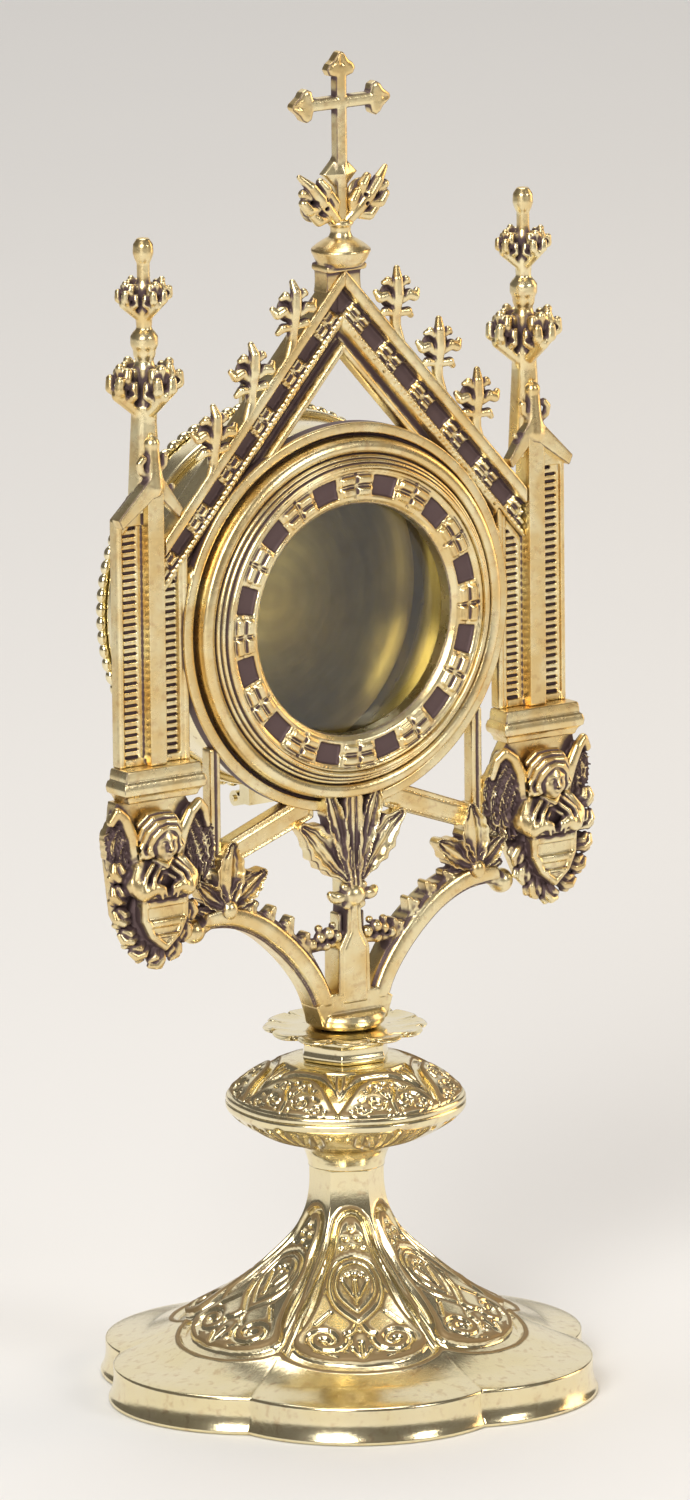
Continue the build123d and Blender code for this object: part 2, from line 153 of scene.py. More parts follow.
def relief(p, outline, front, back, soft=0.35):
    """A flat casting: a signed outline in x and z, a front surface y = front and a back one."""
    return meet(outline, np.maximum(front - p[1], p[1] - back), soft)


def smooth(low, high, value):
    t = np.clip((value - low) / (high - low), 0, 1)
    return t * t * (3 - 2 * t)


def ridge(gap, half, rise):
    """A rounded raised line, from the distance to its middle."""
    return rise * np.sqrt(np.clip(1 - (gap / half) ** 2, 0, 1))


def spiral(centre, start, turns, outer, inner, hand=1, count=28):
    """Points of a curl that winds in towards its centre, from an angle in degrees."""
    points = []
    for index in range(count + 1):
        t = index / count
        angle = math.radians(start) + hand * turns * TAU * t
        reach = outer + (inner - outer) * t ** 0.8
        points.append((centre[0] + reach * math.cos(angle), centre[1] + reach * math.sin(angle)))
    return points


# ---------------------------------------------------------------- meshes


def sample(values, low, step, points):
    """The field's value at points, from its grid."""
    q = (points - low) / step
    q = np.clip(q, 0, np.array(values.shape) - 1.001)
    i = q.astype(int)
    f = q - i
    total = 0
    for dx in (0, 1):
        for dy in (0, 1):
            for dz in (0, 1):
                weight = np.abs(1 - dx - f[:, 0]) * np.abs(1 - dy - f[:, 1]) * np.abs(1 - dz - f[:, 2])
                total = total + weight * values[i[:, 0] + dx, i[:, 1] + dy, i[:, 2] + dz]
    return total


def slope_of(values, low, step, points):
    """The field's unit gradient at points."""
    parts = []
    for axis in range(3):
        shift = np.zeros(3)
        shift[axis] = step
        ahead = sample(values, low, step, points + shift)
        parts.append(ahead - sample(values, low, step, points - shift))
    slope = np.stack(parts, 1)
    return slope / (np.linalg.norm(slope, axis=1, keepdims=True) + 1e-9)


CORNERS = np.array([(a, b, c) for a in (0, 1) for b in (0, 1) for c in (0, 1)])
EDGES = [(i, j) for i in range(8) for j in range(i + 1, 8) if np.abs(CORNERS[i] - CORNERS[j]).sum() == 1]


def surface_of(values, low, step):
    """Vertices and four-sided faces of the field's zero surface."""
    inside = values < 0
    cells = tuple(n - 1 for n in values.shape)
    corners = [inside[a:a + cells[0], b:b + cells[1], c:c + cells[2]] for a, b, c in CORNERS]
    count = sum(corner.astype(np.int8) for corner in corners)
    where = np.argwhere((count > 0) & (count < 8))
    at_corner = [values[tuple((where + corner).T)] for corner in CORNERS]
    total, hits = np.zeros((len(where), 3)), np.zeros(len(where))
    for i, j in EDGES:
        a, b = at_corner[i], at_corner[j]
        crossed = (a < 0) != (b < 0)
        t = np.where(crossed, a / np.where(crossed, a - b, 1), 0)
        total += crossed[:, None] * (CORNERS[i] + t[:, None] * (CORNERS[j] - CORNERS[i]))
        hits += crossed
    points = low + step * (where + total / hits[:, None])
    number = np.full(cells, -1, np.int64)
    number[tuple(where.T)] = np.arange(len(where))
    faces = []
    for axis in range(3):
        order = [axis, (axis + 1) % 3, (axis + 2) % 3]
        solid, index = inside.transpose(order), number.transpose(order)
        changes = solid[:-1, 1:-1, 1:-1] != solid[1:, 1:-1, 1:-1]
        i, j, k = np.argwhere(changes).T
        ring = np.stack([index[i, j, k], index[i, j + 1, k], index[i, j + 1, k + 1], index[i, j, k + 1]], 1)
        outward = solid[i, j + 1, k + 1]
        faces.append(np.where(outward[:, None], ring, ring[:, ::-1]))
    return points, np.concatenate(faces)


def openness(values, low, step, points, normals):
    """How open the surface is round each point: low in hollows, high on edges and bumps."""
    total = 0
    high = low + step * (np.array(values.shape) - 1)
    for reach in (0.45, 1.0, 2.0):
        out = points + normals * reach
        beyond = np.linalg.norm(out - np.clip(out, low, high), axis=1)
        total = total + np.clip((sample(values, low, step, out) + beyond) / reach, -0.2, 1.6)
    return total / 4.8


def mesh_of(name, points, faces, shade):
    """A smooth mesh in metres, with its openness stored for the material."""
    mesh = bpy.data.meshes.new(name)
    mesh.vertices.add(len(points))
    mesh.vertices.foreach_set("co", (points * MM).astype(np.float32).ravel())
    mesh.loops.add(faces.size)
    mesh.loops.foreach_set("vertex_index", faces.astype(np.int32).ravel())
    mesh.polygons.add(len(faces))
    mesh.polygons.foreach_set("loop_start", np.arange(0, faces.size, 4, dtype=np.int32))
    mesh.polygons.foreach_set("use_smooth", np.ones(len(faces), bool))
    mesh.update(calc_edges=True)
    mesh.attributes.new("open", "FLOAT", "POINT").data.foreach_set("value", shade.astype(np.float32))
    mesh.validate()
    return mesh


def place(name, mesh, material, node, body=FRAME_NODES, slot="antique_brass"):
    """The mesh as a piece that stands for CAD nodes."""
    piece = bpy.data.objects.new(name, mesh)
    bpy.context.scene.collection.objects.link(piece)
    mesh.materials.append(material)
    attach(piece, body)
    nodes = [node] if isinstance(node, str) else node
    if nodes:
        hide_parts(*nodes)
    return piece


def sculpt(field, low, high, step, dull=None, lift=0.0):
    """Points, faces and openness of a field's surface inside a box. dull tells how much more
    tarnish there is at a place, from 0 to 1, and lift how much less there is everywhere."""
    low = np.array(low, float)
    axes = [np.arange(lo, hi + step, step) for lo, hi in zip(low, high)]
    grid = (axes[0][:, None, None], axes[1][None, :, None], axes[2][None, None, :])
    values = np.broadcast_to(field(grid), [len(axis) for axis in axes]).astype(np.float32)
    points, faces = surface_of(values, low, step)
    for _ in range(2):
        normals = slope_of(values, low, step, points)
        points = points - normals * np.clip(sample(values, low, step, points), -step / 2, step / 2)[:, None]
    normals = slope_of(values, low, step, points)
    shade = openness(values, low, step, points, normals) + lift
    if dull:
        shade = shade - dull(points.T)
    return points, faces, shade


def mirrored(shape):
    points, faces, shade = shape
    return points * np.array([-1, 1, 1]), faces[:, ::-1], shade


def both_sides(shape):
    """The shape and its mirror image as one mesh."""
    points, faces, shade = mirrored(shape)
    return (np.concatenate([shape[0], points]), np.concatenate([shape[1], faces + len(shape[0])]),
            np.concatenate([shape[2], shade]))


def cast(name, shape, material, node=None, **more):
    points, faces, shade = shape
    return place(name + "_cast", mesh_of(name, points, faces, shade), material, node or name, **more)


def cast_pair(name, shape, material, node=None, **more):
    """The right piece as sculpted, and the left one as its mirror image."""
    node = node or name
    cast("right_" + name, shape, material, "right_" + node, **more)
    cast("left_" + name, mirrored(shape), material, "left_" + node, **more)


def ring_faces(rows, columns):
    """Faces of a grid that closes on itself both ways."""
    i, j = np.meshgrid(np.arange(rows), np.arange(columns), indexing="ij")
    i, j = i.ravel(), j.ravel()
    k, m = (i + 1) % rows, (j + 1) % columns
    return np.stack([i * columns + j, k * columns + j, k * columns + m, i * columns + m], 1)


def blurred(height, rounds):
    for _ in range(rounds):
        height = (height * 2 + np.roll(height, 1, 0) + np.roll(height, -1, 0)) / 4
        height = (height * 2 + np.roll(height, 1, 1) + np.roll(height, -1, 1)) / 4
    return height


def chased(points, height):
    """A grid of points closed both ways, pushed out along its normals by a relief's height."""
    across = np.roll(points, -1, 0) - np.roll(points, 1, 0)
    along = np.roll(points, -1, 1) - np.roll(points, 1, 1)
    normals = np.cross(across, along)
    normals /= np.linalg.norm(normals, axis=2, keepdims=True) + 1e-12
    moved = points + normals * height[..., None]
    shade = FLAT_OPEN + 1.6 * (height - blurred(height, 14))
    return moved.reshape(-1, 3), ring_faces(*height.shape), shade.ravel()


def curve(points, step):
    """Points along a smooth line through the given ones."""
    points = np.array(points, float)
    ends = np.concatenate([[2 * points[0] - points[1]], points, [2 * points[-1] - points[-2]]])
    out = []
    for a, b, c, d in zip(ends, ends[1:], ends[2:], ends[3:]):
        t = np.linspace(0, 1, max(2, int(np.linalg.norm(c - b) / step)), endpoint=False)[:, None]
        out.append(0.5 * (2 * b + (c - a) * t + (2 * a - 5 * b + 4 * c - d) * t ** 2
                          + (3 * b - a - 3 * c + d) * t ** 3))
    return np.concatenate(out + [points[-1:]])


def spun_shape(profile):
    """A piece turned about the window's axis from closed points of radius and y."""
    profile = np.array(profile, float)
    angle = -np.arange(SPUN_AROUND) / SPUN_AROUND * TAU
    x, z = np.outer(np.cos(angle), profile[:, 0]), WINDOW_Z + np.outer(np.sin(angle), profile[:, 0])
    return chased(np.stack([x, np.broadcast_to(profile[:, 1], x.shape), z], 2), np.zeros(x.shape))


def pairs(points):
    return [tuple(point) for point in points]


def stretch(points):
    """How far along its line each point is."""
    return np.concatenate([[0], np.cumsum(np.hypot(*np.diff(points, axis=0).T))])


def strokes(v, s, shapes):
    """Raised lines on a panel, each given as (points, half width, rise), on both sides of v = 0."""
    height = np.zeros(np.broadcast(v, s).shape)
    for points, half, rise in shapes:
        gap, _ = line(np.abs(v), s, pairs(points))
        height = np.maximum(height, ridge(gap, half, rise))
    return height


def bumps(v, s, places):
    """Rounded grains on a panel, each given as (v, s, radius, rise), on both sides of v = 0."""
    height = np.zeros(np.broadcast(v, s).shape)
    for pv, ps, radius, rise in places:
        height = np.maximum(height, ridge(np.hypot(np.abs(v) - pv, s - ps), radius, rise))
    return height


def turned(angle, reach, z):
    """A grid of points from each row's angle, and each point's radius and height."""
    x, y = reach * np.cos(angle)[:, None], reach * np.sin(angle)[:, None]
    return np.stack([x, y, np.broadcast_to(z, reach.shape)], 2)


def sectors(profile, around, shape, relief_of, turn=0.0):
    """A six-sided turned piece. shape gives the radius factor from the angle in a sector and
    the profile's index; relief_of gives the height from the distances across and along it."""
    width = around // 6
    angle = (np.arange(width) / width - 0.5) * TAU / 6
    radius, z = profile[:, 0], profile[:, 1]
    factor = shape(angle[:, None], np.arange(len(profile))[None, :])
    reach = radius[None, :] * factor
    height = relief_of(angle[:, None] * reach, stretch(profile)[None, :])
    whole = (angle[None, :] + (np.arange(6) * TAU / 6)[:, None]).ravel() + math.radians(turn)
    reach, height = np.tile(reach, (6, 1)), np.tile(height, (6, 1))
    return chased(turned(whole, reach, z), height)


# ---------------------------------------------------------------- foot and knop


def foot_shape():
    """Six-lobed below, six-sided above, with a tongue of scrollwork down each side."""
    outside = curve([(6.65, 40.0), (6.75, 36), (7.6, 32), (9.5, 28.4), (12.8, 25.0), (16.8, 21.5),
                     (22.0, 17.3), (27.4, 13.2), (31.8, 10.4), (36.0, 8.4), (40.4, 6.75)], 0.28)
    rim = curve([(40.4, 6.75), (40.9, 6.5), (41.0, 6.0), (41.0, 3.6), (41.4, 1.6), (41.85, 0.7),
                 (41.7, 0.15), (41.1, 0.0)], 0.3)
    cavity = curve([(38.5, 0.0), (38.3, 2.5), (33, 6.5), (26, 10.8), (19, 16.5), (12.5, 21.6),
                    (7.5, 26.5), (6, 29)], 1.5)
    bore = np.array([(2.5, 29.0), (2.5, 34.0), (2.5, 40.0)])
    profile = np.concatenate([outside, rim[1:], cavity, bore])
    shown = len(outside) + len(rim) - 1
    centre, lobe = 19.6, 26.8
    at_notch = centre * math.cos(TAU / 12) + math.sqrt(lobe ** 2 - (centre * math.sin(TAU / 12)) ** 2)

    def shape(angle, index):
        radius = profile[:, 0][index]
        hexagon = np.minimum(math.cos(TAU / 12) / np.cos(angle) + 0.004, 1)
        foil = (centre * np.cos(angle) + np.sqrt(lobe ** 2 - (centre * np.sin(angle)) ** 2)) / at_notch
        share = 0.62 * smooth(15, 31, radius) + 0.38 * smooth(36, 40.4, radius)
        outer = hexagon * (1 - share) + foil * share
        return np.where(index < shown, outer, 1.0)

    def relief_of(v, s):
        to_ridge = TAU / 12 * np.interp(s, stretch(profile), profile[:, 0]) - np.abs(v)
        bead = ridge(to_ridge - 0.95, 0.75, 0.45) * smooth(10, 15, s) * (1 - smooth(35, 40, s))
        shown_here = s < stretch(profile)[len(outside) - 1]
        v = v / (1 + 0.15 * smooth(24, 34, s))
        s = s + 0.2 * np.maximum(s - 28, 0)
        side = np.abs(v)
        tongue = curve([(0, 8.2), (1.7, 9.4), (3.7, 16.7), (5.6, 22), (8.6, 31.5), (10.6, 36),
                        (9.6, 38.8), (6, 40.4), (0, 41)], 1.5)
        edge = polygon(side, s, pairs(tongue) + [(-3.0, 41), (-3.0, 8.2)])
        border = 1.2 + 1.9 * smooth(12, 36, s)
        rise = 1.0 * smooth(-0.15, 0.6, edge) * (1 - smooth(-0.7, 0.25, edge - border))
        rise -= 0.32 * smooth(0.1, -0.3, edge) + 0.2 * np.exp(-((edge - border - 0.4) / 0.25) ** 2)
        loop = curve([(0, 31.2), (1.7, 29.4), (3.9, 26.6), (4.7, 23.6), (4.2, 20), (2.6, 17.2),
                      (0, 16.1)], 0.8)
        inner = curve([(0, 28.6), (1.5, 27), (3.1, 24.8), (3.5, 22.4), (2.9, 19.8), (1.7, 18.2),
                       (0, 17.6)], 0.8)
        stem = curve([(0.2, 31.2), (1.0, 33.4), (2.2, 34.2)], 0.8)
        scroll = spiral((5.5, 35.4), 190, 1.25, 3.9, 1.2, hand=-1, count=20)
        lines = [(loop, 0.62, 0.62), (inner, 0.45, 0.4), (stem, 0.6, 0.6), (scroll, 0.6, 0.62),
                 ([(0, 26.6), (0, 21.4)], 0.5, 0.5), ([(0, 26.2), (1.5, 23.4), (2.3, 21.6)], 0.42, 0.45),
                 ([(0, 36.2), (0, 40.2)], 0.5, 0.55), ([(0.3, 40.2), (1.5, 37.6)], 0.42, 0.5),
                 ([(4.6, 28.8), (6.9, 32.0)], 0.5, 0.4), ([(3.4, 17.6), (5.6, 24.2)], 0.4, 0.3),
                 ([(7.4, 38.6), (4.0, 40.0)], 0.42, 0.4)]
        grains = [(0, 20.1, 0.85, 0.6), (1.2, 20.6, 0.6, 0.5), (5.6, 35.6, 1.15, 0.75), (0, 10.6, 0.8, 0.6),
                  (1.1, 12.4, 0.8, 0.6), (0, 14.0, 0.6, 0.5), (2.0, 14.9, 0.5, 0.35), (8.2, 36.6, 0.6, 0.4),
                  (2.6, 38.4, 0.6, 0.4), (0, 33.2, 0.6, 0.5)]
        inside = smooth(0.0, -0.35, edge)
        rise += inside * np.maximum(strokes(v, s, lines), bumps(v, s, grains))
        return (rise + bead) * shown_here

    return sectors(profile, 720, shape, relief_of)


KNOP_TURN = 21.0


def lobed(angle, amount):
    return 1 + amount * np.cos(6 * angle)


def knop_upper_shape():
    """Six arched leaf panels, with fluted points between them."""
    outside = curve([(9.0, 59.5), (11.0, 59.15), (13.5, 58.2), (17.5, 56), (20.2, 53.75)], 0.2)
    rim = curve([(20.2, 53.75), (20.9, 53.1), (21.2, 52.5), (21.15, 51.85)], 0.3)
    core = np.array([(20.8, 51.8), (11.5, 51.8), (11.5, 56.0), (2.5, 56.0), (2.5, 59.5), (5.0, 59.5)])
    profile = np.concatenate([outside, rim[1:], core])
    shown = len(outside) + len(rim) - 1

    def shape(angle, index):
        return np.where(index < shown, lobed(angle, 0.012 * smooth(12, 20, profile[:, 0][index])), 1.0)

    def relief_of(v, s):
        side = np.abs(v)
        arch = curve([(0, 4.6), (2.2, 4.9), (4.6, 6.5), (7.0, 9.2), (10.2, 12.7)], 1.0)
        edge = polygon(side, s, pairs(arch) + [(10.4, 13.2), (-4.0, 13.2), (-4.0, 4.6)])
        band = 0.75 * smooth(-0.1, 0.25, edge) * (1 - smooth(1.35, 1.7, edge)) * (s < 13.6)
        field = -0.25 * smooth(0.1, -0.25, edge)
        lines = [([(0, 12.9), (0, 9.0)], 0.42, 0.5), ([(0.2, 10.2), (1.2, 8.2), (1.5, 6.8)], 0.4, 0.5),
                 (spiral((2.9, 10.6), 180, 1.1, 1.7, 0.5, hand=-1, count=14), 0.4, 0.5),
                 (spiral((6.1, 11.9), 160, 1.0, 1.1, 0.35, hand=-1, count=12), 0.36, 0.45),
                 ([(3.4, 8.0), (2.6, 6.6)], 0.4, 0.45), ([(4.6, 9.6), (5.6, 10.2)], 0.4, 0.45)]
        grains = [(0, 6.3, 0.6, 0.5), (0.9, 7.4, 0.45, 0.45), (2.9, 10.6, 0.6, 0.55),
                  (3.9, 8.0, 0.5, 0.45), (7.9, 12.6, 0.5, 0.4), (1.3, 12.4, 0.5, 0.45),
                  (4.6, 12.3, 0.5, 0.45), (2.1, 8.0, 0.4, 0.4)]
        scrolls = np.maximum(strokes(v, s, lines), bumps(v, s, grains)) * smooth(0.05, -0.25, edge)
        to_point = TAU / 12 * np.interp(s, stretch(profile), profile[:, 0]) - side
        leaf = np.maximum(np.abs(to_point) - 0.34 * (9.4 - s), 2.6 - s)
        flutes = (0.4 * np.abs(np.cos(to_point * 2.4)) * smooth(0.1, -0.3, leaf)
                  + 0.45 * ridge(leaf, 0.45, 1.0))
        return (band + field + scrolls + flutes * smooth(1.3, 1.6, edge)) * (s < 13.8)

    return sectors(profile, 540, shape, relief_of, turn=KNOP_TURN)


def knop_lower_shape():
    """The underside, with a leaf curling up under each panel."""
    outside = curve([(6.85, 40.05), (6.95, 41.0), (7.9, 43.3), (10.2, 44.7), (15, 46.3), (19.0, 48.6),
                     (20.8, 50.3)], 0.25)
    rim = curve([(20.8, 50.3), (21.2, 50.9), (21.2, 51.75)], 0.3)
    core = np.array([(20.8, 51.8), (11.5, 51.8), (11.5, 47.0), (2.5, 47.0), (2.5, 40.0), (6.4, 40.0)])
    profile = np.concatenate([outside, rim[1:], core])[::-1]
    shown_from = len(core)

    def shape(angle, index):
        swell = lobed(angle, 0.012 * smooth(12, 20, profile[:, 0][index]))
        return np.where(index >= shown_from, swell, 1.0)

    def relief_of(v, s):
        s = s - stretch(profile)[shown_from]
        lines = [([(0, 2.0), (0, 12.6)], 0.6, 0.5), ([(2.4, 3.2), (1.0, 10.6)], 0.5, 0.4),
                 (curve([(6.6, 2.6), (5.6, 6.4), (2.8, 9.8), (1.2, 13.4)], 1.0), 0.6, 0.55),
                 ([(4.6, 3.4), (2.6, 7.6)], 0.45, 0.35)]
        grains = [(0, 1.9, 0.9, 0.5), (2.6, 2.6, 0.7, 0.45), (4.8, 2.9, 0.6, 0.4), (8.6, 3.0, 0.8, 0.4)]
        rise = np.maximum(strokes(v, s, lines), bumps(v, s, grains))
        return (rise - 0.12) * smooth(0.9, 1.5, s) * (1 - smooth(14.5, 16, s))

    return sectors(profile, 540, shape, relief_of, turn=KNOP_TURN)


def facets(angle, count, turn, soft):
    """The radius factor of a polygon with rounded corners."""
    local = (angle - turn + TAU / 2 / count) % (TAU / count) - TAU / 2 / count
    flat = math.cos(TAU / 2 / count) / np.cos(local)
    return flat * (1 - soft) + soft


def collar_ring_shape():
    """Six-sided, polished, with rounded edges."""
    profile = curve([(2.5, 59.5), (7.4, 59.5), (8.2, 59.9), (8.35, 60.6), (8.1, 61.4), (8.1, 62.4),
                     (8.35, 63.2), (8.2, 63.9), (7.4, 64.2), (2.5, 64.2)], 0.2)
    angle = np.arange(360) / 360 * TAU
    share = smooth(3.0, 7.0, profile[:, 0])[None, :]
    factor = 1 + share * (facets(angle, 6, math.radians(KNOP_TURN), 0.3)[:, None] - 1)
    reach = profile[:, 0][None, :] * factor
    return chased(turned(angle, reach, profile[:, 1]), np.zeros(reach.shape))


def petal_collar_shape():
    """Twelve round petals, hollowed and lifted a little at their tips."""
    count, around = 12, 720
    angle = np.arange(around) / around * TAU
    local = np.abs((angle + TAU / 24) % (TAU / count) - TAU / 24) / (TAU / 24)
    tip = 14.7 - 1.9 * (1 - np.sqrt(np.clip(1 - local ** 2.2, 0, 1)))
    shares = np.concatenate([np.linspace(0, 1, 40), np.linspace(1, 0, 40)])
    over = np.concatenate([np.ones(40), np.zeros(40)])
    reach = 2.5 + (tip[:, None] - 2.5) * shares[None, :]
    dish = 0.75 * smooth(9, 14.7, reach) - 0.35 * smooth(8, 12, reach) * (1 - local[:, None] ** 2)
    edge = np.sqrt(np.clip(1 - smooth(0.93, 1.0, shares) ** 2, 0.0, 1))[None, :]
    z = 64.75 + dish + np.where(over, 0.5, -0.5)[None, :] * edge
    flute = 0.3 * smooth(0.75, 1.0, local)[:, None] * smooth(9, 12, reach)
    grid = turned(angle, reach, z - flute * over[None, :])[:, ::-1]
    return chased(grid, np.zeros(reach.shape))


def yoke_socket_field(p):
    """A round cup under a flat shoulder, from which the arms spring."""
    x, y, z = p
    reach = np.hypot(x, y)
    cup = polygon(reach, z,
                  [(-9, 65.4), (5.4, 65.4), (6.4, 65.7), (7.0, 66.4), (7.1, 67.3), (6.6, 68.1),
                   (-9, 68.3)]) - 0.1
    shoulder = relief(p, polygon(x, z, [(-7.0, 66.4), (7.0, 66.4), (7.7, 68.4), (8.3, 70.2), (5.2, 72.2),
                                     (-5.2, 72.2), (-8.3, 70.2), (-7.7, 68.4)]), -3.35, 2.0, 0.4)
    return np.maximum(join(cup, shoulder, 0.6), np.where(z < 68, 2.46 - reach, -FAR))


# ---------------------------------------------------------------- shapes shared by the ornaments


def lobe(p, points, widths, front, back, bulge=0.7, vein=0.3, flutes=0.0):
    """A leaf's lobe along a line in the front's plane. It swells forwards with a sunk midrib, or,
    given flutes, it is hollowed between raised edges, with that many flutes on each side of its midrib."""
    x, _, z = p
    gap, share = line(x, z, points)
    width = np.interp(share, np.linspace(0, 1, len(widths)), widths)
    if not flutes:
        face = front - ridge(gap, width + 0.1, bulge) + vein * np.exp(-(gap / 0.32) ** 2)
        return relief(p, gap - width, face, back, 0.3)
    width = width * (1 + 0.07 * np.cos(TAU * 5 * share))
    part = gap / np.maximum(width, 0.3)
    dish = 0.75 * smooth(1.0, 0.55, part) * smooth(0.0, 0.25, share)
    ribs = 0.34 * np.cos(TAU * flutes * part)
    return relief(p, gap - width, front + dish - ribs, back, 0.3)


def curls(p, balls, soft=0.35):
    return join_all([ball(p, centre, radius) for centre, radius in balls], soft)


def drill(p, field, holes):
    """Small holes sunk into a field from the front, each given as (x, z, radius)."""
    for x, z, radius in holes:
        field = cut(field, rod(p, (x, -7, z), (x, -1, z), radius, radius), 0.3)
    return field


def four_petals(x, z, long, wide):
    """Height of a flower of four blocky petals that fill a rectangle, with thin gaps between them."""
    a, b = np.abs(x) - long / 4, np.abs(z) - wide / 4
    block = np.maximum(np.abs(a) - long / 4 + 0.12, np.abs(b) - wide / 4 + 0.12)
    round_off = np.hypot(np.maximum(np.abs(x) - long / 2 + 0.9, 0),
                         np.maximum(np.abs(z) - wide / 2 + 0.9, 0)) - 0.8
    petal = smooth(0.0, -0.55, np.maximum(block, round_off))
    end_notch = smooth(0.55, 0.2, np.hypot(np.abs(x) - 0.5 * long, z))
    side_notch = smooth(0.5, 0.2, np.hypot(x, np.abs(z) - 0.5 * wide))
    return petal - 0.5 * end_notch - 0.5 * side_notch


# ---------------------------------------------------------------- window


def window_frame_shape():
    """The round moulding: reeds stepping down from the flat ring, a half-round, a gap and an outer fillet."""
    reeds = [(27.2, -5.0), (27.3, -5.9), (27.7, -6.05), (28.05, -5.6), (28.15, -5.0), (28.4, -5.2),
             (28.75, -4.9), (28.85, -4.3), (29.1, -4.5), (29.45, -4.2), (29.6, -3.4)]
    roll = curve([(29.6, -3.4), (30.0, -4.2), (30.9, -4.5), (31.9, -4.1), (32.3, -3.2), (32.4, -2.2)], 0.15)
    fillet = [(32.5, -0.6), (33.0, -0.5), (33.1, -1.9), (33.3, -2.1), (34.6, -2.1), (34.9, -1.8),
              (34.9, -0.5)]
    profile = np.concatenate([curve(reeds, 0.1), roll, curve(fillet, 0.15),
                              [(34.9, 0.5), (34.5, 1.5), (27.2, 1.5), (27.2, 0)]])
    points, faces, _ = spun_shape(profile)
    reach, depth = profile[:, 0], profile[:, 1]
    open_ = 0.70 - 0.35 * smooth(-2.0, -1.2, depth)
    for groove in (28.15, 28.9, 29.6):
        open_ = open_ - 0.3 * np.exp(-((reach - groove) / 0.16) ** 2)
    return points, faces, np.tile(open_, len(points) // len(profile))


OPENING = 20.75
RING_OUTER = 27.2
RING_MIDDLE = 24.2
FRAME_OUTER = 34.2


def ring_places(x, z, shift):
    """Distances along and across the flat ring from the nearest of twelve places on it."""
    reach = np.hypot(x, z - WINDOW_Z)
    turn = np.arctan2(z - WINDOW_Z, x) - shift
    return (RING_MIDDLE + 0.1) * ((turn + TAU / 24) % (TAU / 12) - TAU / 24), reach - RING_MIDDLE


def ring_pits(p):
    along, across = ring_places(p[0], p[2], TAU / 24)
    return smooth(0.25, -0.2, np.maximum(np.abs(along) - 2.4, np.abs(across) - 1.75))


def ring_dull(p):
    return 0.5 * ring_pits(p)


def rosette_ring_field(p):
    """The flat ring that holds the glass: square sinkings between flowers, and a bevel inside."""
    x, _, z = p
    reach = np.hypot(x, z - WINDOW_Z)
    face = -5.15 + 0.9 * smooth(21.9, 20.8, reach) - 0.3 * smooth(26.5, 26.7, reach)
    along, across = ring_places(x, z, 0.0)
    face = face - 0.75 * four_petals(along, across, 7.0, 4.2)
    face = face + 0.85 * ring_pits(p)
    ring = np.maximum(OPENING - reach, reach - RING_OUTER)
    return relief(p, ring, face, -1.4, 0.2)


# ---------------------------------------------------------------- gable

SLOPE = math.radians(48.4)
APEX_Z = 202.6
PITS = 6
PIT_PITCH = 10.4


def on_slope(x, z):
    """Distance in from the gable's outer edge, and distance down along it from the point."""
    return (-x * math.sin(SLOPE) - (z - APEX_Z) * math.cos(SLOPE),
            x * math.cos(SLOPE) - (z - APEX_Z) * math.sin(SLOPE))


def rail_pits(p):
    s, t = on_slope(np.abs(p[0]), p[2])
    pits = 0.0
    for number in range(PITS):
        square = np.maximum(np.abs(t - 4.5 - PIT_PITCH * number) - 2.3, np.abs(s - 3.9) - 1.5)
        pits = np.maximum(pits, smooth(0.25, -0.2, square))
    return pits


def rail_dull(p):
    """Tarnish in the sinkings and, less of it, in the hollow."""
    s, _ = on_slope(np.abs(p[0]), p[2])
    return 0.5 * rail_pits(p) + 0.1 * smooth(6.5, 6.8, s) * smooth(8.9, 8.5, s)


def rail_field(p):
    """A smooth outer bar, a band of sinkings and flowers, a beaded line, a hollow and an inner bar."""
    x, _, z = p
    s, t = on_slope(x, z)
    face = np.full(np.broadcast(s, t).shape, -0.9)
    round_ = np.clip(1 - ((s - 1.1) / 1.25) ** 4, 0, 1) ** 0.5
    face = np.minimum(face, np.where(s < 2.35, -1.3 - 1.5 * round_, FAR))
    band = smooth(2.2, 2.35, s) * smooth(5.6, 5.45, s)
    flowers = 0.0
    for number in range(PITS):
        middle = t - 4.5 - PIT_PITCH * (number + 0.5)
        near = smooth(3.1, 2.9, np.abs(middle))
        flowers = flowers + near * four_petals(middle, s - 3.9, 5.4, 3.2)
    face = face + band * (0.8 * rail_pits(p) - 0.85 * flowers)
    beads = 0.65 + 0.35 * np.abs(np.sin(math.pi * t / 1.05))
    face = np.minimum(face, np.where(np.abs(s - 6.0) < 0.6, -0.9 - ridge(s - 6.0, 0.6, 1.1) * beads, FAR))
    hollow = -1.5 + 1.7 * smooth(6.5, 8.2, s)
    face = np.where((s > 6.55) & (s < 8.9), hollow, face)
    face = np.minimum(face, np.where(s > 8.75, -0.6 - ridge(s - 9.65, 0.85, 1.5), FAR))
    outline = np.maximum(np.maximum(-s, s - 10.4), np.maximum(-x - 0.05, x - 39.0))
    outline = np.maximum(outline, np.where(x > 33.4, s - 6.3, -FAR))
    outline = np.maximum(outline, FRAME_OUTER - np.hypot(x, z - WINDOW_Z))
    return relief(p, outline, face, 1.5, 0.22)


